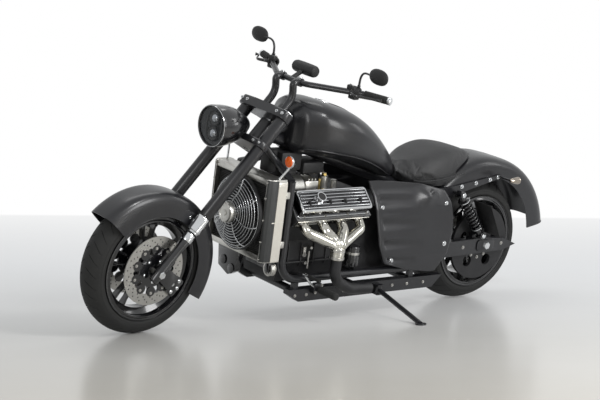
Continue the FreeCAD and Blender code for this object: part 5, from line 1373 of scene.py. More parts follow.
@dataclass
class Saddle:
    """The wide leather saddle, swollen by a cloth simulation."""

    voxel: float = 0.006
    pressure: float = 4.0
    most: float = 0.010

    def rows(self) -> list[list[Vector]]:
        """Return the saddle's rows, a little inside the solid that it replaces."""
        rows = []
        for row in SEAT.rows(45, 64):
            middle = sum(row, Vector()) / len(row)
            moved = []
            for point in row:
                offset = point - middle
                here = middle + spot(0, offset.y * 0.955, offset.z * 0.95)
                reach = hypot(here.x, here.z - 0.332)
                if abs(here.y) < 0.150 and reach < 0.459:
                    away = spot(here.x, 0, here.z - 0.332).normalized() * 0.459
                    here = spot(away.x, here.y, 0.332 + away.z)
                if here.z < 0.652 and abs(here.y) < 0.155:
                    here.z = max(here.z, 0.664)
                moved.append(here)
            rows.append(moved)
        return rows

    def build(self) -> None:
        """Make the saddle, its seams and its skirt's piping."""
        form = Form(BIKE)
        rows = self.rows()
        form.rows(rows, capped=True)
        bmesh.ops.recalc_face_normals(form.build, faces=form.build.faces)
        form.build.transform(BIKE.at)
        mesh = bpy.data.meshes.new("saddle")
        form.build.to_mesh(mesh)
        form.build.free()
        seat = added("saddle", mesh)
        self.swell(seat)
        seat.data.shade_smooth()
        smooth = seat.modifiers.new("smooth", "SUBSURF")
        smooth.levels = 1
        smooth.render_levels = 1
        settle(seat, Body.CHASSIS, LEATHER, "seat")
        self.seams()

    def swell(self, seat: bpy.types.Object) -> None:
        """Swell the saddle a little, as foam under leather."""
        remesh = seat.modifiers.new("remesh", "REMESH")
        remesh.mode = "VOXEL"
        remesh.voxel_size = self.voxel
        graph = bpy.context.evaluated_depsgraph_get()
        fine = bpy.data.meshes.new_from_object(seat.evaluated_get(graph))
        seat.modifiers.clear()
        seat.data = fine
        rest = [vertex.co.copy() for vertex in fine.vertices]
        cloth = seat.modifiers.new("cloth", "CLOTH")
        cloth.settings.use_pressure = True
        cloth.settings.uniform_pressure_force = self.pressure
        cloth.settings.effector_weights.gravity = 0.0
        scene = bpy.context.scene
        for number in range(1, 21):
            scene.frame_set(number)
        graph = bpy.context.evaluated_depsgraph_get()
        swollen = bpy.data.meshes.new_from_object(seat.evaluated_get(graph))
        seat.modifiers.clear()
        for vertex, place in zip(swollen.vertices, rest):
            move = vertex.co - place
            if move.length > self.most:
                vertex.co = place + move.normalized() * self.most
        seat.data = swollen
        scene.frame_set(1)

    def seams(self) -> None:
        """Sew the skirt's double seam and lay the piping along it."""
        for number, turn in enumerate((0.02, -0.06)):
            for side in SIDES:
                line = SEAT.line(side, turn, range(6, 41), 44, spot(0, side * 0.0005, 0))
                stitches(f"skirt_stitches_{number}_{'left' if side > 0 else 'right'}", BIKE, THREAD,
                    line, Y_AXIS * side)
        piping = Form(BIKE)
        for side in SIDES:
            lift = spot(0, side * -0.0006, 0)
            piping.tube(SEAT.line(side, -0.02, range(6, 41), 44, lift), 0.0024, 8)
        piping.piece("seat_piping", LEATHER)


PANEL_OUTLINE = ((1.0, 1.0), (0.94, 0.83), (0.912, 0.59), (0.875, 0.34), (0.796, 0.14),
    (0.52, 0.053), (0.174, 0.0), (0.045, 0.193), (0.004, 0.4), (0.0, 0.58), (0.032, 0.75),
    (0.097, 0.85), (0.38, 0.93))
FLARE = ((-0.1, 0.9), (0.0, 0.95), (0.2, 1.0), (0.45, 0.9), (0.7, 0.66), (0.9, 0.2), (1.1, 0.0))


@dataclass
class SidePanels:
    """The flared covers of the bike's middle, with moulded scallops."""

    front: float = 0.872
    rear: float = 0.304
    low: float = 0.236
    high: float = 0.722
    out: float = 0.252
    top_out: float = 0.178
    wall: float = 0.010
    scallops: Sequence[tuple[float, float, float]] = ((0.80, 0.46, 0.062), (0.575, 0.54, 0.068),
        (0.36, 0.48, 0.062), (0.19, 0.34, 0.045))

    def edge(self, along: float) -> tuple[float, float]:
        """Return the lowest and highest shares of the height at a share of the length."""
        tops = [(p[0], p[1]) for p in PANEL_OUTLINE[9:]] + [PANEL_OUTLINE[0]]
        lows = [(p[0], p[1]) for p in PANEL_OUTLINE[1:10]][::-1]
        return self.along(lows, along), self.along(tops, along)

    @staticmethod
    def along(points: Sequence[tuple[float, float]], place: float) -> float:
        """Return a polyline's second value at a place."""
        for (a, b), (c, e) in zip(points, points[1:]):
            if min(a, c) <= place <= max(a, c) and a != c:
                return b + (e - b) * (place - a) / (c - a)
        return points[0][1] if place <= points[0][0] else points[-1][1]

    def flare(self, up: float) -> float:
        """Return how far out the panel stands at a share of its height."""
        share = self.along(FLARE, up)
        return self.top_out + (self.out - self.top_out) * share

    @staticmethod
    def boss(x: float, z: float) -> float:
        """Return how far the panel swells over the frame's upper corner."""
        return 0.021 * exp(-(((x - 0.486) / 0.055) ** 2) - ((z - 0.628) / 0.04) ** 2)

    def relief(self, along: float, up: float) -> float:
        """Return the depth that the moulded scallops press in."""
        depth = 0.0
        for place, reach, tall in self.scallops:
            drop = 0.03 * (1 - along)
            off = (up - place + drop) / tall
            if abs(off) < 1.6:
                start = self.front_share(up) - 0.04
                run = (start - along) / reach
                if 0.0 < run < 1.0:
                    fade = min(1.0, run * 16.0) * (1.0 - run)
                    ridge = exp(-((off + 0.25) ** 2) * 2.4) - 0.3 * exp(-((off - 0.85) ** 2) * 9)
                    depth += 0.017 * fade * ridge
        return depth

    def front_share(self, up: float) -> float:
        """Return the front edge's share of the length at a share of the height."""
        points = [(p[1], p[0]) for p in PANEL_OUTLINE[:6]]
        return self.along(points[::-1], up)

    def rear_share(self, up: float) -> float:
        """Return the rear edge's share of the length at a share of the height."""
        points = [(p[1], p[0]) for p in PANEL_OUTLINE[6:13]]
        return self.along(points, up)

    def skin(self, side: int, inset: float) -> list[list[Vector]]:
        """Return the panel's rows from its lower edge up."""
        rows = []
        for level in range(64):
            up = 0.012 + 0.976 * level / 63
            row = []
            if up < 0.053:
                front = self.along(((0.0, 0.174), (0.053, 0.52)), up)
            else:
                front = self.front_share(up)
            rear = self.rear_share(up) if up < 0.93 else self.along(((0.93, 0.38), (1.0, 1.0)), up)
            for step in range(72):
                share = step / 71
                along = front + (rear - front) * share
                depth = self.relief(along, up)
                edge = min(share, 1 - share) * abs(front - rear) * 0.568
                rounding = 0.004 * max(0.0, 1 - edge / 0.006) ** 2
                x = self.rear + (self.front - self.rear) * along
                z = self.low + (self.high - self.low) * up
                out = self.flare(up) + self.boss(x, z) - depth - rounding - inset
                row.append(spot(x, side * out, z))
            rows.append(row)
        return rows

    def build(self) -> None:
        """Make both panels and their bolts."""
        for side, name in ((1, "left"), (-1, "right")):
            form = Form(BIKE)
            outer, inner = self.skin(side, 0.0), self.skin(side, self.wall * 0.8)
            form.shell(outer, inner)
            form.piece(f"side_panel_{name}_dressed", SATIN_PAINT, f"side_panel_{name}",
                "black_satin", 50.0)
        places = []
        for side in SIDES:
            for along, up in ((0.86, 0.72), (0.10, 0.72), (0.70, 0.16), (0.10, 0.30)):
                out = self.flare(up) - self.relief(along, up)
                x = self.rear + (self.front - self.rear) * along
                z = self.low + (self.high - self.low) * up
                places.append((spot(x, side * (out + 0.001), z), Y_AXIS * side))
        bolts("panel_bolts", BIKE, CHROME, places, 0.0085, 0.007, 24)


# Engine, exhaust and cooling


def bank(reach: float, across: float, x: float = 0.0, side: int = 1) -> Vector:
    """Return a point on a cylinder bank by its reach from the crank and its offset."""
    tilt = radians(45.0)
    return Vector((x, side * (sin(tilt) * reach + cos(tilt) * across), 0.430 + cos(tilt) * reach
        - sin(tilt) * across))


PORTS = [1.277 - 0.115 * number for number in range(4)]


@dataclass
class Engine:
    """The V8: cast block, heads, finned covers, intake, filter and hoses."""

    front: float = 1.324
    rear: float = 0.881
    base: float = 0.2525
    top: float = 0.306
    base_half: float = 0.066
    pitch: float = 0.017

    def ring(self, reach: float, half: float, inset: float, side: int) -> list[Vector]:
        """Return one rounded level of a cover at a reach from the crank."""
        x0, x1 = self.rear + inset, self.front - inset
        corner = min(0.014, half * 0.4)
        row = []
        for cx, cy, first in ((x1 - corner, half - corner, 0), (x0 + corner, half - corner, 1),
                (x0 + corner, corner - half, 2), (x1 - corner, corner - half, 3)):
            for step in range(6):
                t = pi / 2 * (first + step / 5)
                row.append(bank(reach, cy + corner * sin(t), cx + corner * cos(t), side))
        return row

    def covers(self) -> None:
        """Make the dark finned covers with their bright edges, screws and filler neck."""
        form, bright, gasket = forms(BIKE, 3)
        for side in SIDES:
            form.rows([self.ring(*level, side) for level in ((self.base, 0.0600, 0.002),
                (0.262, 0.0600, 0.002), (0.285, 0.0582, 0.004), (0.296, 0.0560, 0.007),
                (0.3035, 0.0520, 0.010), (0.3040, 0.047, 0.014))], capped=True)
            bright.rows([self.ring(*level, side) for level in ((self.base, 0.0655, 0.0),
                (0.2585, self.base_half, 0.0), (0.2605, 0.0645, 0.001), (0.2605, 0.0560, 0.004),
                (self.base, 0.0560, 0.004))], loop=True)
            bright.rows([self.ring(*level, side) for level in ((0.2905, 0.0590, 0.0035),
                (0.2945, 0.0606, 0.003), (0.3020, 0.0592, 0.004), (0.3062, 0.0550, 0.007),
                (0.3058, 0.0500, 0.012), (0.3030, 0.0495, 0.012), (0.2905, 0.0540, 0.007))],
                loop=True)
            for number in range(6):
                across = (number - 2.5) * self.pitch
                bright.prism([bank(r, across + y, self.rear + x, side)
                    for r, y, x in mm((303.5, -3, 16), (310.8, -1.8, 21), (310.8, 1.8, 21),
                    (303.5, 3, 16))], (self.front - self.rear - 0.034, 0, 0), 0.0007)
            gasket.prism([bank(r, y, self.rear, side) for r, y in mm((250.5, -67), (252.7, -67),
                (252.7, 67), (250.5, 67))], (self.front - self.rear, 0, 0))
        form.piece("valve_covers_dressed", SMOKED, "valve_covers", "bright_steel", 30.0)
        bright.piece("cover_edges", CHROME, "", "bright_steel", 30.0)
        gasket.piece("cover_gaskets", RUBBER)
        up = (bank(1.0, 0.0) - bank(0.0, 0.0)).normalized()
        foot = bank(0.303, 0.0, 1.205)
        neck, plug = forms(BIKE, 2)
        neck.turned(mm((0, 0), (0, 23.5), (8, 24.5), (9.5, 20.8), (24, 20.8), (25.5, 24.8),
            (36.5, 25), (36.5, 20.5), (30, 20), (30, 0)), foot, up, 40)
        neck.piece("filler_neck", CHROME)
        plug.turned(mm((30.2, 0), (30.2, 19.8), (33.5, 19.2), (34.5, 0)), foot, up, 32)
        plug.piece("filler_plug", ENGINE_BLACK)
        top, low = [], []
        for side in SIDES:
            out = (bank(1.0, 0.0, 0, side) - bank(0.0, 0.0, 0, side)).normalized()
            top += [(bank(0.3100, 0.017, x, side), out) for x in (1.268, 1.142, 1.048, 0.952)]
            low += [(bank(0.2615, a, x, side), out) for x in (0.90, 1.02, 1.16, 1.29)
                for a in (0.0625, -0.0625)]
        bolts("cover_bolts", BIKE, ENGINE_BLACK, top, 0.0078, 0.010)
        bolts("cover_screws", BIKE, STEEL, low, 0.0042, 0.005)

    def castings(self) -> None:
        """Add the cast ribs, bosses and plates to the block and the heads."""
        form, dark = forms(BIKE, 2)
        for side in SIDES:
            for number in range(6):
                x = 0.90 + 0.078 * number
                dark.prism([(x, side * y, z) for y, z in mm((149, 300), (157, 320), (157, 410),
                    (149, 430))], (0.010, 0, 0), 0.002)
            dark.block((0.85, min(side * 0.12, side * 0.156), 0.318),
                (1.33, max(side * 0.12, side * 0.156), 0.328), 0.003)
            for x in PORTS:
                form.rod(bank(0.221, 0.070, x, side), bank(0.221, 0.0755, x, side), 0.031, steps=32,
                    bevel=0.0015)
                form.prism([bank(r, y, x - shift, side) for r, y, shift in mm((249.5, 74.5, 50),
                    (249.5, 80, 47), (233, 80, 47), (233, 74.5, 50))], (0.028, 0, 0), 0.001)
            form.prism([bank(r, y, 0.872, side) for r, y in mm((196, 72), (204.5, 79.5),
                (204.5, 72))], (0.458, 0, 0), 0.001)
        form.piece("engine_castings", CAST_ALLOY, "", "engine_grey", 32.0)
        dark.piece("block_ribs", ENGINE_BLACK, "", "engine_grey", 32.0)
        front = Form(BIKE)
        front.turned(mm((0, 0), (0, 85), (12, 85), (18, 78), (18, 0)), (1.3375, 0.0, 0.430), X_AXIS,
            48)
        front.prism([(1.3375, y, z) for y, z in mm((-100, 270), (100, 270), (125, 360), (120, 500),
            (60, 575), (-60, 575), (-120, 500), (-125, 360))], (0.010, 0, 0), 0.003)
        front.piece("timing_cover", CAST_ALLOY)
        dress(CAST_ALLOY, "cylinder_heads")
        dress(ENGINE_BLACK, "engine_block", "gearbox", "intake_manifold")
        places = [(spot(1.3475, 0.11 * sin(t), 0.43 + 0.12 * cos(t)), X_AXIS) for t in around(10)]
        bolts("timing_bolts", BIKE, STEEL, places, 0.005, 0.005)

    def filter(self) -> None:
        """Make the spin-on filter's ribbed can with its bright band."""
        can, band = forms(BIKE, 2)
        place = spot(0.917, 0.1857, 0.292)
        rows = []
        for z, r, wave in mm((-1, 4, 0), (-1, 31, 0), (4, 35.2, 0.6), (22, 36, 0.6), (28, 36.4, 0),
                (94, 36.4, 0), (100, 34, 0)):
            reaches = [r + wave * (-1) ** (k // 3) for k in range(72)]
            rows.append([place + spot(reach * cos(t), reach * sin(t), z)
                for reach, t in zip(reaches, around(72))])
        can.rows(rows, capped=True)
        can.piece("oil_filter_can", GLOSS_PAINT)
        band.turned(mm((60, 36.2), (60, 36.9), (72, 36.9), (72, 36.2)), place, Z_AXIS, 56,
            loop=True)
        band.piece("oil_filter_band", STEEL)

    def upper(self) -> None:
        """Make the bright throttle parts and clamps between the banks and the tank."""
        metal, hose, clamp, gold = forms(BIKE, 4)
        metal.turned(mm((-45, 0), (-45, 50), (-38, 58), (30, 58), (36, 52), (40, 30), (52, 26),
            (52, 0)), (1.262, 0.070, 0.676), X_AXIS, 40)
        metal.block((1.130, 0.020, 0.617), (1.212, 0.118, 0.712), 0.008)
        for x in (1.145, 1.165, 1.185):
            metal.block((x, 0.022, 0.712), (x + 0.006, 0.112, 0.722), 0.0015)
        metal.rod((1.055, 0.060, 0.617), (1.055, 0.060, 0.722), 0.021, bevel=0.003)
        metal.rod((1.000, 0.075, 0.617), (1.000, 0.075, 0.702), 0.016, bevel=0.003)
        gold.rod((1.055, 0.060, 0.7225), (1.055, 0.060, 0.734), 0.014, steps=6, bevel=0.001)
        gold.rod((1.105, 0.090, 0.660), (1.105, 0.090, 0.715), 0.007, bevel=0.001)
        hose.tube(smooth_line(mm((1312, 70, 676), (1345, 85, 694), (1372, 100, 712),
            (1411, 120, 712)), 8), 0.0165, 20)
        for low, high, bevel in (((1.205, -0.060, 0.752), (1.330, 0.062, 0.842), 0.010),
                ((1.218, -0.045, 0.700), (1.300, 0.045, 0.753), 0.006), ((1.335, -0.034, 0.740),
                (1.385, 0.034, 0.850), 0.008), ((1.070, -0.070, 0.735), (1.200, 0.072, 0.792),
                0.010)):
            hose.block(low, high, bevel)
        for y in (-0.03, 0.03):
            hose.rod((1.10, y, 0.700), (1.10, y, 0.736), 0.020, bevel=0.003)
        for place in ((1.318, 0.077, 0.692), (1.398, 0.114, 0.712)):
            clamp.turned(mm((-6, 16.5), (-6, 18.5), (6, 18.5), (6, 16.5)), place, spot(0.9, 0.3,
                0.2), 32, loop=True)
        metal.piece("throttle_parts", ALUMINIUM, "", "engine_grey", 32.0)
        hose.piece("coolant_pipe_and_boxes", BLACK_PLASTIC, "", "black_plastic", 35.0)
        clamp.piece("hose_clamps", STEEL)
        gold.piece("brass_fittings", BRASS)

    def lower(self) -> None:
        """Make the fittings at the block's side."""
        metal = Form(BIKE)
        for side in SIDES:
            for x, z, r in mm((1205, 360, 12), (1190, 318, 9), (1165, 392, 8)):
                metal.rod((x, side * 0.148, z), (x, side * 0.168, z), r, steps=6, bevel=0.0012)
            metal.rod((1.175, side * 0.162, 0.290), (1.175, side * 0.162, 0.375), 0.0045)
            metal.rod((1.205, side * 0.160, 0.372), (1.205, side * 0.160, 0.400), 0.010,
                bevel=0.001)
        metal.piece("block_fittings", STEEL)

    def build(self) -> None:
        """Make the engine's dress."""
        self.covers()
        self.castings()
        self.filter()
        self.upper()
        self.lower()


@dataclass
class Exhaust:
    """The bright headers that swell and meet in a collector on each side."""

    radius: float = 0.0218
    collector: Point = (1.112, 0.296, 0.404)

    def build(self) -> None:
        """Make the headers, the flanges and the clamps, and dress the outlets."""
        form, clamp, places = Form(BIKE), Form(BIKE), []
        for side in SIDES:
            x, y, z = self.collector
            collector = spot(x, side * y, z)
            for number, x in enumerate(PORTS):
                port = bank(0.221, 0.0755, x, side)
                out = (bank(0.0, 1.0, 0, side) - bank(0.0, 0.0, 0, side)).normalized()
                corner = port + out * 0.046
                above = collector + spot((x - collector.x) * 0.16, 0, 0.036)
                line = smooth_line([port, port + out * 0.022, corner + (above - corner) * 0.08,
                    corner + (above - corner) * 0.38, corner + (above - corner) * 0.72, above,
                    collector + spot((x - collector.x) * 0.08, 0, 0.012)], 8)
                swell = 0.0085 if number in (1, 2) else 0.004
                form.tube(line, lambda share, s=swell: self.radius + s * sin(pi * share), 28)
                for shift in SIDES:
                    places.append((bank(0.221 + shift * 0.018, 0.0838, x + shift * 0.026, side),
                        out))
            form.turned(mm((24, 0), (24, 32.5), (20, 34.5), (-20, 34.5), (-34, 33.5), (-34, 0)),
                collector, Z_AXIS, 48)
            form.prism([bank(r, y, 0.8805, side) for r, y in mm((194.6, 75.2), (247.4, 75.2),
                (247.4, 82.8), (194.6, 82.8))], (0.444, 0, 0), 0.002)
            for z in (0.010, -0.026):
                clamp.turned([(z - 0.006, 0.0340), (z - 0.005, 0.0362), (z + 0.005, 0.0362),
                    (z + 0.006, 0.0340)], collector, Z_AXIS, 48, loop=True)
        form.piece("headers_dressed", PIPE_CHROME, "exhaust_headers", "bright_steel", 38.0)
        clamp.piece("collector_clamps", STEEL)
        bolts("flange_bolts", BIKE, STEEL, places, 0.0055, 0.007)
        dress(ENGINE_BLACK, "exhaust_outlets")


def stack(name: str, mount: Mount, count: int, size: Point, step: Point, replaces: str = "",
        slot: str = "") -> None:
    """Stack thin plates of the radiator, each a step from the last."""
    growth = Growth(name)
    line = growth.node("GeometryNodeMeshLine", {"mode": "OFFSET"}, Count=growth.size("Count",
        count), Offset=growth.size("Step", step), Start_Location=(0.0, 0.0, 0.0))
    cube = growth.node("GeometryNodeMeshCube", Size=growth.size("Plate size", size))
    shape = growth.node("GeometryNodeInstanceOnPoints", Points=line.outputs[0],
        Instance=cube.outputs["Mesh"])
    growth.grow(shape.outputs[0], mount, FIN_BLACK, replaces=replaces, slot=slot)


@dataclass
class Cooling:
    """The radiator with its fins, the fan and its wire guard."""

    front: float = 1.515
    rear: float = 1.412
    half: float = 0.230
    low: float = 0.357
    high: float = 0.756
    tank: float = 0.032
    fan: Point = (1.515, 0.020, 0.555)
    guard_radius: float = 0.172
    blade_radius: float = 0.154
    motor: float = 0.052

    def core(self) -> None:
        """Make the core's flat tubes and the folded fins between them."""
        inner = self.half - self.tank
        middle = (self.front + self.rear) / 2
        low = self.low + self.tank
        stack("radiator_tubes", BIKE.moved(middle, 0, low), 40, (0.0555, inner * 2, 0.0022),
            (0.0, 0.0, 0.335 / 39.99), "radiator_core", "radiator")
        at = BIKE.moved(middle, inner * (2 / 181 - 1), (self.low + self.high) / 2)
        stack("radiator_fins", at, 180, (0.050, 0.0005, 0.334), (0.0, inner * 2 / 181, 0.0))
        plate = Form(BIKE)
        plate.block((middle - 0.002, -inner, self.low + 0.03), (middle + 0.002, inner, self.high
            - 0.03))
        plate.piece("radiator_inside", FIN_BLACK)

    def case(self) -> None:
        """Make the side tanks with their pale strips of painted highlight and dark strips of
        painted shade, the rails and the screws.
        """
        form, pale, dark = forms(BIKE, 3)
        x0, x1 = self.rear, self.front
        for side in SIDES:
            inner, outer = side * (self.half - self.tank), side * (self.half - 0.003)
            outline = [(x0 + 0.001, inner), (x0 + 0.001, outer - side * 0.004), (x0 + 0.006, outer),
                (x1 - 0.034, outer), (x1 - 0.016, outer - side * 0.004), (x1 - 0.006, outer - side
                * 0.014), (x1, outer - side * 0.024), (x1, inner)]
            form.prism([(x, y, self.low) for x, y in outline], (0, 0, self.high - self.low), 0.003)
            # Rear part of each side tank's outside: a pale strip of painted highlight.
            self.strip(pale, side, x0 + 0.002, x0 + 0.052)
            # Front part of each side tank's outside, round its chamfer: a dark strip of painted
            # shade over the aluminium.
            dark.prism([(x, outer + side * y, self.low + 0.004) for x, y in ((x0 + 0.054, -0.001),
                (x0 + 0.054, 0.0024), (x1 - 0.030, 0.0024), (x1 - 0.014, -0.0018),
                (x1 - 0.004, -0.0125), (x1 + 0.0012, -0.0235), (x1 - 0.006, -0.0235))],
                (0, 0, self.high - self.low - 0.008), 0.0012)
            # A thin pale line across the side tank, in the same pale finish as the painted
            # highlight strips.
            pale.block((x0 + 0.001, min(outer + side * 0.0005, outer + side * 0.003), 0.548),
                (x1 - 0.032, max(outer + side * 0.0005, outer + side * 0.003), 0.553), 0.0008)
            for z in (0.421, 0.660):
                form.block((1.373, side * 0.211 - 0.008, z), (x0 + 0.004, side * 0.211 + 0.008,
                    z + 0.032), 0.002)
        for low, high in ((self.low, self.low + self.tank), (self.high - self.tank, self.high)):
            form.block((x0 + 0.004, -self.half + 0.03, low), (x1 - 0.002, self.half - 0.03, high),
                0.008)
        form.piece("radiator_case", ALUMINIUM, "radiator_tanks", "radiator_silver", 32.0)
        pale.piece("radiator_highlight_strips", HIGHLIGHT_STRIP, "", "radiator_silver", 40.0)
        dark.piece("radiator_side_tank_shade", DARK_PARTS_AND_SHADE, "", "black_gloss", 32.0)
        places = [(spot(x1 + 0.0005, side * (self.half - 0.028), z), X_AXIS) for side in SIDES
            for z in (0.372, 0.455, 0.56, 0.665, 0.741)]
        bolts("radiator_bolts", BIKE, STEEL, places, 0.0048, 0.005)

    def strip(self, form: Form, side: int, x0: float, x1: float) -> None:
        """Add one pale strip of painted highlight whose top rolls over the side tank's shoulder."""
        outer = side * (self.half - 0.003)
        line = [(outer + side * 0.0022, self.low + 0.002), (outer + side * 0.0026,
            self.low + 0.012), (outer + side * 0.0026, self.high - 0.030), (outer + side * 0.0016,
            self.high - 0.018), (outer - side * 0.004, self.high - 0.006), (outer - side * 0.014,
            self.high - 0.001), (outer - side * 0.030, self.high - 0.0005)]
        back = [(y - side * 0.003, z - 0.002) for y, z in line]
        form.prism([(x0, y, z) for y, z in line + back[::-1]], (x1 - x0, 0, 0), 0.0008)

    def guard(self) -> None:
        """Make the wire guard, the shroud's ring and the motor's cap."""
        ring, wires = forms(BIKE, 2)
        r = self.guard_radius
        ring.turned([(0.0, r + 0.0002), (0.0, r + 0.0075), (0.004, r + 0.008), (0.018, r + 0.008),
            (0.020, r + 0.0065), (0.020, r + 0.0015), (0.018, r + 0.0002)], self.fan, X_AXIS, 120,
            loop=True)
        place = Vector(self.fan)

        def reach(radius: float) -> float:
            """Return how far the guard's dome stands out at a radius."""
            share = max(0.0, (r - radius) / (r - self.motor))
            return 0.0178 + 0.0424 * sqrt(share)

        for number in range(10):
            radius = 0.053 + (r - 0.0535) * number / 9
            turns = around(96)
            line = [place + fan_spot(reach(radius), radius, t) for t in turns + [TURN]]
            wires.tube(line, 0.0022, 8)
        for turn in around(8):
            line = []
            for step in range(15):
                share = step / 14
                radius = r + 0.0005 + (0.050 - r) * share
                twist = turn + 0.2 + 0.16 * sin(share * pi)
                line.append(place + fan_spot(reach(radius) + 0.0024, radius, twist))
            wires.tube(smooth_line(line, 2), 0.0028, 8)
        ring.piece("fan_shroud", BLACK_PLASTIC)
        wires.piece("fan_guard_wires", WIRE, "fan_guard", "wire_steel", 60.0)
        motor = Form(BIKE)
        motor.turned(mm((10, 0), (10, 7.5), (58.5, 7.8), (58.5, 46), (62, 49.2), (80, 49.4),
            (86, 47), (89.5, 41), (89.5, 36), (87.5, 34), (87.5, 14), (91.8, 12), (91.8, 0)),
            self.fan, X_AXIS, 64)
        motor.piece("fan_motor_dressed", ALUMINIUM, "fan_motor", "bright_steel", 30.0)

    def rotor(self) -> None:
        """Make the fan's hub and its pitched blades."""
        form = Form(FAN)
        place = Vector(self.fan)
        form.turned(mm((6, 8.5), (6, 38), (10, 41.2), (50, 41.2), (52.5, 38.5), (52.5, 8.5)), place,
            X_AXIS, 56, loop=True)
        spread = (-1.0, -0.5, 0.0, 0.5, 1.0)
        for turn in around(8):
            rows = []
            for share in (0.0, 0.15, 0.35, 0.55, 0.75, 0.92, 1.0):
                radius = 0.037 + (self.blade_radius - 0.0385) * share
                pitch = radians(34 - 14 * share)
                half = 0.013 + 0.014 * sin(min(1.0, share * 1.1) * pi * 0.55)
                sweep = 0.22 * share
                row = []
                for across, face in [(s, 1) for s in spread] + [(s, -1) for s in spread[::-1]]:
                    along = 0.0125 + across * half * sin(pitch) * 0.42 + face * 0.0008
                    away = across * half * cos(pitch) + 0.002 * (1 - across**2)
                    row.append(place + fan_spot(along, radius, turn + sweep + away / radius))
                rows.append(row)
            form.rows(rows, capped=True)
        form.piece("fan_rotor_dressed", BLACK_PLASTIC, "fan_rotor", "black_plastic", 40.0)

    def build(self) -> None:
        """Make the cooling pack."""
        self.core()
        self.case()
        self.guard()
        self.rotor()


# Rear end and small gear


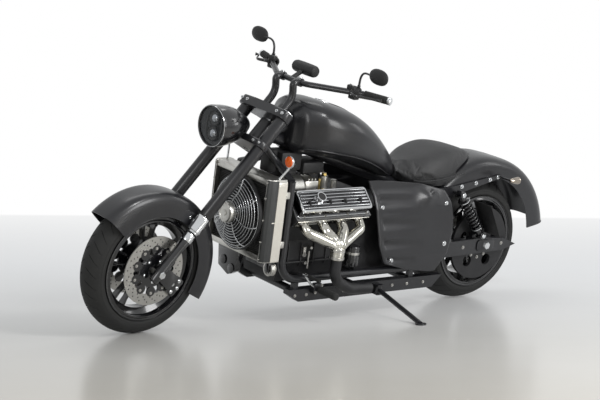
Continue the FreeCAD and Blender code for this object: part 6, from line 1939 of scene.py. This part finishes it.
@dataclass
class RearEnd:
    """The shocks, the swingarm's fittings, the lamps and the number plate."""

    def shocks(self) -> None:
        """Make the damper bodies, the wound springs and their rings."""
        low, top = spot(0.062, 0.208, 0.396), spot(0.249, 0.208, 0.622)
        line = top - low
        axis = line.normalized()
        body, spring, chrome = forms(BIKE, 3)
        length = line.length
        body.turned([(0.0, 0.0), (0.0, 0.012), (length * 0.16, 0.0175), (length * 0.2, 0.0325),
            (length * 0.222, 0.0325), (length * 0.226, 0.0195), (length * 0.84, 0.0195),
            (length * 0.842, 0.032), (length * 0.862, 0.032), (length * 0.88, 0.018),
            (length, 0.012), (length, 0.0)], low, axis, 40)
        first = axis.orthogonal().normalized()
        second = axis.cross(first)
        points = []
        for step in range(201):
            share = step / 200
            t = TURN * 8.0 * share
            points.append(low + line * (0.23 + 0.605 * share) + (first * cos(t) + second * sin(t))
                * 0.0278)
        spring.tube(points, 0.0048, 10)
        for share in (0.21, 0.852):
            chrome.turned([(length * share - 0.0022, 0.0322), (length * share - 0.0018, 0.0329),
                (length * share + 0.0018, 0.0329), (length * share + 0.0022, 0.0322)], low, axis,
                40, loop=True)
        for eye in (low, top):
            body.turned(mm((-21.5, 9), (-21.5, 18.5), (-19, 19.8), (19, 19.8), (21.5, 18.5),
                (21.5, 9)), eye, Y_AXIS, 36, loop=True)
            chrome.turned(mm((-22, 0), (-22, 10), (21.8, 10), (22.2, 12), (27, 12), (28.5, 9),
                (28.5, 0)), eye, Y_AXIS, 24)
        body.mirror().piece("shocks_dressed", GLOSS_PAINT, "shocks", "black_gloss", 35.0)
        spring.mirror().piece("shock_springs", GLOSS_PAINT, sharp=60.0)
        chrome.mirror().piece("shock_fittings", CHROME)

    def arm(self) -> None:
        """Dress the swingarm and add its axle plates, nuts and screws."""
        form, nuts = forms(BIKE, 2)
        for side in SIDES:
            y = side * 0.1905
            form.prism([(x, y, z) for x, z in mm((-62, 314), (-62, 350), (-50, 362), (50, 362),
                (62, 350), (62, 314), (50, 302), (-50, 302))], (0, side * 0.006, 0), 0.0015)
            nuts.turned([(y + side * x, r) for x, r in mm((0, 0), (0, 21), (8, 22), (19, 19.5),
                (21, 14), (21, 0))], (0, 0, 0.332), Y_AXIS, 6)
            nuts.turned([(side * x, r) for x, r in mm((216.5, 0), (216.5, 24), (222, 26), (226, 22),
                (226, 0))], (0.436, 0, 0.318), Y_AXIS, 32)
        form.piece("axle_plates", SATIN_PAINT)
        nuts.piece("rear_nuts", CHROME)
        dress(SATIN_PAINT, "swingarm", "frame_cradle", "frame_backbone")
        dress(STEEL, "rear_axle", "rear_disc")
        dress(ENGINE_BLACK, "drive_pulley")
        places = flanks(0.1905, mm((160, 330), (300, 325), (-120, 335)))
        bolts("arm_bolts", BIKE, STEEL, places, 0.0065, 0.006)
        rivets = [(wheel_spot(0.078, turn, 0.1455), Y_AXIS) for turn in around(10)]
        bolts("pulley_bolts", REAR_WHEEL, STEEL, rivets, 0.006, 0.005)
        teeth = [(wheel_spot(0.1928, turn, 0.136), wheel_spot(1.0, turn, 0.0))
            for turn in around(110)]
        scatter("pulley_teeth", REAR_WHEEL, ENGINE_BLACK, "Cube", teeth, Size=(0.005, 0.0175,
            0.004))

    def lamps(self) -> None:
        """Make the rear bullet lamps with their red faces."""
        shell, lens, stalk = forms(BIKE, 3)
        place = spot(-0.072, 0.250, 0.690)
        shell.turned(mm((20, 0), (19.5, 6), (14, 11.2), (-10, 15.8), (-30, 18.8), (-37, 19.4),
            (-40, 19.2), (-40, 16), (-34, 0)), place, X_AXIS, 40)
        lens.turned(mm((-36, 16), (-38.5, 15.8), (-39.8, 10), (-40, 0)), place, X_AXIS, 36)
        stalk.tube(smooth_line(mm((-64, 155, 690), (-66, 190, 690), (-70, 240, 690)), 6),
            lambda share: 0.0068 - 0.001 * share, 16)
        shell.mirror().piece("rear_lamp_shells", BRONZED, "rear_lamps", "black_gloss", 40.0)
        lens.mirror().piece("rear_lamp_lenses", RED_LENS)
        stalk.mirror().piece("rear_lamp_stalks", SATIN_PAINT)

    def plate(self) -> None:
        """Make the blank plate, its frame, the reflector and the curved stay."""
        lean = radians(30.0)
        low = spot(0.012, 0.168, 0.402)
        up = spot(sin(lean), 0, cos(lean))
        back = spot(-cos(lean), 0, sin(lean))
        turn = turned_frame(Y_AXIS, up, back)
        at = Mount(BIKE.at @ Matrix.Translation(low) @ turn, BIKE.body)
        frame_form, sheet_form, orange = forms(at, 3)
        frame_form.block((0.0, 0.0, 0.0), (0.132, 0.200, 0.003), 0.0012)
        frame_form.piece("plate_frame", BLACK_PLASTIC, "plate_bracket", "black_plastic")
        sheet_form.block((0.006, 0.034, 0.003), (0.126, 0.194, 0.0052), 0.0008)
        sheet_form.piece("blank_plate", ALUMINIUM)
        orange.block((0.030, 0.006, 0.003), (0.102, 0.028, 0.0062), 0.0012)
        orange.piece("plate_reflector", ORANGE_LENS)
        stay = Form(BIKE)
        stay.tube(smooth_line([spot(0.027, 0.171, 0.3715), spot(0.026, 0.171, 0.392),
            spot(0.021, 0.180, 0.412), low + Y_AXIS * 0.020 + up * 0.030 + back * 0.001], 8),
            0.0058, 14)
        stay.piece("plate_stay", SATIN_PAINT)

    def build(self) -> None:
        """Make the rear end's dress."""
        self.shocks()
        self.arm()
        self.lamps()
        self.plate()


@dataclass
class SmallGear:
    """Indicators, foot controls, front pulleys and the stand's dress."""

    def indicators(self) -> None:
        """Make the front indicators: chrome shells, orange lenses and stalks."""
        shell, lens, stalk = forms(BIKE, 3)
        place = spot(1.437, 0.250, 0.848)
        shell.turned(mm((-32, 0), (-31.5, 8), (-24, 15.5), (-12, 23.5), (-4, 28.5), (0, 29.8),
            (4, 29.8), (5.2, 28.5), (5.2, 26), (0, 25.5), (0, 0)), place, X_AXIS, 48)
        lens.turned(mm((0, 25.6), (5, 26.2), (8.5, 24.5), (9, 22.5), (10.5, 21.5), (10.8, 17),
            (12.2, 16), (12.6, 9), (13.8, 8), (13.8, 0)), place, X_AXIS, 44)
        stalk.tube(smooth_line(mm((1415.5, 249, 846), (1424, 236, 815), (1440, 216, 775),
            (1450, 205, 755.5)), 6), 0.0056, 14)
        shell.mirror().piece("indicator_shells", CHROME, "front_indicators", "chrome", 40.0)
        lens.mirror().piece("indicator_lenses", ORANGE_LENS, "", "lens_orange")
        stalk.mirror().piece("indicator_stalks", CHROME)

    def pedals(self) -> None:
        """Make the ribbed pegs, their brackets and the levers."""
        base = spot(1.165, 0.227, 0.212)
        metal, rubber, chrome = forms(BIKE, 3)
        metal.prism([base + spot(x, 0.0, z) for x, z in mm((-27, -18), (-18, -27), (18, -27),
            (27, -18), (27, 18), (18, 27), (-18, 27), (-27, 18))], (0, 0.027, 0), 0.003)
        profile = mm((24, 0), (24, 13.5), (40, 15))
        for number in range(9):
            y = 0.044 + number * 0.0128
            profile += [(y, 0.0165), (y + 0.002, 0.0184), (y + 0.009, 0.0184), (y + 0.011, 0.0165)]
        profile += mm((160, 17.5), (164, 14), (165, 0))
        rubber.turned(profile, base, Y_AXIS, 32)
        knee = spot(1.258, base.y + 0.019, 0.290)
        start = base + Y_AXIS * 0.019
        chrome.tube(smooth_line([start, start + spot(0.045, 0.0, 0.026), knee], 8), 0.0058, 14)
        chrome.rod(knee - Y_AXIS * 0.006, knee + Y_AXIS * 0.03, 0.0072, bevel=0.001)
        rubber.rod(knee + Y_AXIS * 0.028, knee + Y_AXIS * 0.1195, 0.0077, bevel=0.002)
        metal.mirror().piece("peg_brackets", SATIN_PAINT, "foot_controls", "black_satin")
        rubber.mirror().piece("pegs_dressed", RUBBER, "", "black_plastic")
        chrome.mirror().piece("foot_levers", CHROME)
        screws = flanks(0.2545, mm((1147, 228), (1183, 196)))
        bolts("peg_screws", BIKE, STEEL, screws, 0.0052, 0.005)

    def pulleys(self) -> None:
        """Make the slotted pulley and its bracket below the radiator."""
        plate, wheel, holes = forms(BIKE, 3)
        plate.prism([(1.413, y, z) for y, z in mm((-203, 356.6), (-32, 356.6), (-50, 232),
            (-103, 202), (-184, 232))], (0.036, 0, 0), 0.004)
        plate.block((1.420, 0.175, 0.301), (1.450, 0.205, 0.3566), 0.003)
        for y, z in mm((-75, 240), (-145, 268)):
            plate.turned(mm((0, 0), (0, 22), (4, 24), (6, 24), (8, 20), (8, 0)), (1.4485, y, z),
                X_AXIS, 40)
        plate.piece("radiator_bracket", GLOSS_PAINT, "front_gear", "black_satin")
        place = spot(1.412, 0.190, 0.315)
        wheel.turned(mm((1, 0), (1, 31), (4, 33.8), (6, 33.8), (8, 30), (24, 30), (26, 33.8),
            (29, 33.8), (30.4, 31), (30.4, 26), (27.5, 24), (27.5, 10), (30.4, 8), (30.4, 0)),
            place, X_AXIS, 56)
        wheel.piece("idler_pulley", ALUMINIUM)
        # The slots are drawn as short black rods standing just out of the pulley's face: painted
        # shade for the dark seen through them.
        for turn in around(7):
            start, end = (place + fan_spot(x, 0.017, turn) for x in (0.0268, 0.0279))
            holes.rod(start, end, 0.0048, steps=16)
        holes.piece("idler_slot_shade", ENGINE_BLACK)
        dress(SATIN_PAINT, "side_stand")

    def rails(self) -> None:
        """Set the bolts along the lower frame rails."""
        places = flanks(0.2272, [(x, 0.18) for x in (1.285, 1.215, 1.08, 0.98, 0.88, 0.66, 0.56,
            0.45)])
        bolts("rail_bolts", BIKE, STEEL, places, 0.0055, 0.006, 18)

    def build(self) -> None:
        """Make the small gear."""
        self.indicators()
        self.pedals()
        self.pulleys()
        self.rails()


# Studio


@dataclass
class Studio:
    """The floor, the soft lights and the camera at the photograph's angle."""

    lens: float = 102.447
    camera_from_axle: Vector = field(default_factory=lambda: spot(6.36526, 6.45528, 0.95297))
    right: Vector = field(default_factory=lambda: spot(-0.775011, 0.631923, 0.005569))
    up: Vector = field(default_factory=lambda: spot(-0.049453, -0.069430, 0.996360))
    back: Vector = field(default_factory=lambda: spot(0.630010, 0.771915, 0.085059))
    wall: float = 5.2

    def camera(self) -> None:
        """Place the camera where the photograph was taken from."""
        place = Stance.joint("rear_wheel_spin")[0] + self.camera_from_axle
        data = bpy.data.cameras.new("camera")
        data.lens = self.lens
        data.sensor_width = 36.0
        data.clip_end = 100.0
        camera = added("camera", data)
        turn = turned_frame(self.right, self.up, self.back)
        camera.matrix_world = Matrix.Translation(place) @ turn
        bpy.context.scene.camera = camera

    def world(self) -> None:
        """Light the studio evenly and show white behind the bike."""
        world = bpy.data.worlds.new("studio")
        bpy.context.scene.world = world
        world.use_nodes = True
        tree = world.node_tree
        tree.nodes.clear()
        seen = self.looked_at(tree, 0.5)
        lit, white = (tree.nodes.new("ShaderNodeBackground") for _ in range(2))
        lit.inputs["Strength"].default_value = 0.5
        lit.inputs["Color"].default_value = (0.94, 0.975, 1.0, 1.0)
        white.inputs["Color"].default_value = (1.0, 1.0, 1.0, 1.0)
        mix = tree.nodes.new("ShaderNodeMixShader")
        out = tree.nodes.new("ShaderNodeOutputWorld")
        tree.links.new(seen, mix.inputs["Fac"])
        tree.links.new(lit.outputs[0], mix.inputs[1])
        tree.links.new(white.outputs[0], mix.inputs[2])
        tree.links.new(mix.outputs[0], out.inputs["Surface"])

    @staticmethod
    def looked_at(tree: bpy.types.NodeTree, mirrored: float) -> bpy.types.NodeSocket:
        """Return 1 for camera and transmission rays, and a share for mirror rays."""
        path = tree.nodes.new("ShaderNodeLightPath")
        found = path.outputs["Is Camera Ray"]
        for name, share in (("Is Glossy Ray", mirrored), ("Is Transmission Ray", 1.0)):
            part, both = (tree.nodes.new("ShaderNodeMath") for _ in range(2))
            part.operation, both.operation = "MULTIPLY", "MAXIMUM"
            part.inputs[1].default_value = share
            tree.links.new(path.outputs[name], part.inputs[0])
            tree.links.new(found, both.inputs[0])
            tree.links.new(part.outputs[0], both.inputs[1])
            found = both.outputs[0]
        return found

    def lamp(self, name: str, place: Point, aim: Point, size: tuple[float, float],
            power: float) -> None:
        """Hang a soft box that looks at a point."""
        data = bpy.data.lights.new(name, "AREA")
        data.shape = "RECTANGLE"
        data.size, data.size_y = size
        data.energy = power
        box = added(name, data)
        look = (Vector(aim) - Vector(place)).to_track_quat("-Z", "Y")
        box.matrix_world = Matrix.Translation(Vector(place)) @ look.to_matrix().to_4x4()

    def floor(self) -> None:
        """Lay the pale glossy floor, which ends in the white wall behind the bike."""
        mesh = bpy.data.meshes.new("floor")
        reach = 30.0
        mesh.from_pydata([(-reach, -reach, 0), (reach, -reach, 0), (reach, reach, 0),
            (-reach, reach, 0)], [], [(0, 1, 2, 3)])
        shader = Shader("studio_floor")
        place = shader.place()
        away = -spot(self.back.x, self.back.y, 0.0).normalized()
        depth = shader.node("ShaderNodeVectorMath", {"operation": "DOT_PRODUCT"}, place,
            tuple(away))
        cloud = shader.noise(place, 0.9, 4.0)
        # Base colour runs from a darker beige near the camera to pale grey far off: the darkening
        # towards the camera is painted shade.
        far = shader.span(depth + cloud, -2.6, 2.4)
        paint = shader.node("ShaderNodeBsdfPrincipled", None, Base_Color=shader.mix(far,
            (0.57, 0.53, 0.46), (0.77, 0.785, 0.80)), Roughness=cloud * 0.12 + 0.16,
            Specular_IOR_Level=0.35)
        white = shader.node("ShaderNodeEmission", None, (1.0, 1.0, 1.0, 1.0), 1.0)
        wall = shader.span(depth, self.wall - 0.15, self.wall)
        seen = Signal(shader, self.looked_at(shader.tree, 1.0))
        haze = shader.span(depth, -0.6, self.wall, 0.75)
        share = haze + wall * (1.0 - haze)
        both = shader.node("ShaderNodeMixShader", None, share * seen, paint, white)
        out = shader.raw("ShaderNodeOutputMaterial")
        shader.tree.links.new(both.socket, out.inputs["Surface"])
        mesh.materials.append(shader.material)
        added("floor", mesh)

    def build(self) -> None:
        """Make everything that isn't the bike."""
        self.camera()
        self.world()
        self.floor()
        self.lamp("flank_box", (-1.0, 4.4, 1.5), (0.0, 0.0, 0.5), (1.5, 2.0), 85.0)
        self.lamp("key_box", (0.2, 3.6, 3.4), (0.2, 0.0, 0.8), (0.7, 0.7), 52.0)
        self.lamp("front_box", (4.2, 2.2, 1.6), (0.8, 0.0, 0.5), (0.8, 2.0), 26.0)
        self.lamp("rear_box", (-4.0, 2.6, 2.2), (-0.6, 0.0, 0.5), (0.8, 2.2), 20.0)
        self.lamp("top_box", (-0.6, -1.2, 4.4), (0.0, 0.0, 0.4), (3.5, 0.9), 24.0)


def main() -> None:
    """Dress the bike, sub-assembly by sub-assembly."""
    bpy.context.scene.view_settings.view_transform = "Standard"
    Studio().build()
    wheels = (Wheel("front", FRONT_WHEEL, 0.328, 0.140, 0.076, 0.250, 0.0805, 34), Wheel("rear",
        REAR_WHEEL, 0.332, 0.240, 0.150, 0.246, 0.127, 30, groove=0.006, sweep=0.22))
    assemblies = wheels + (Brakes(), Fork(), Headlamp(), Bars(), Fenders(), Tank(), Saddle(),
        SidePanels(), Engine(), Exhaust(), Cooling(), RearEnd(), SmallGear())
    for assembly in assemblies:
        assembly.build()
        LOG.info("built %s", type(assembly).__name__)


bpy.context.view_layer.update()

if __name__ == "__main__":
    main()
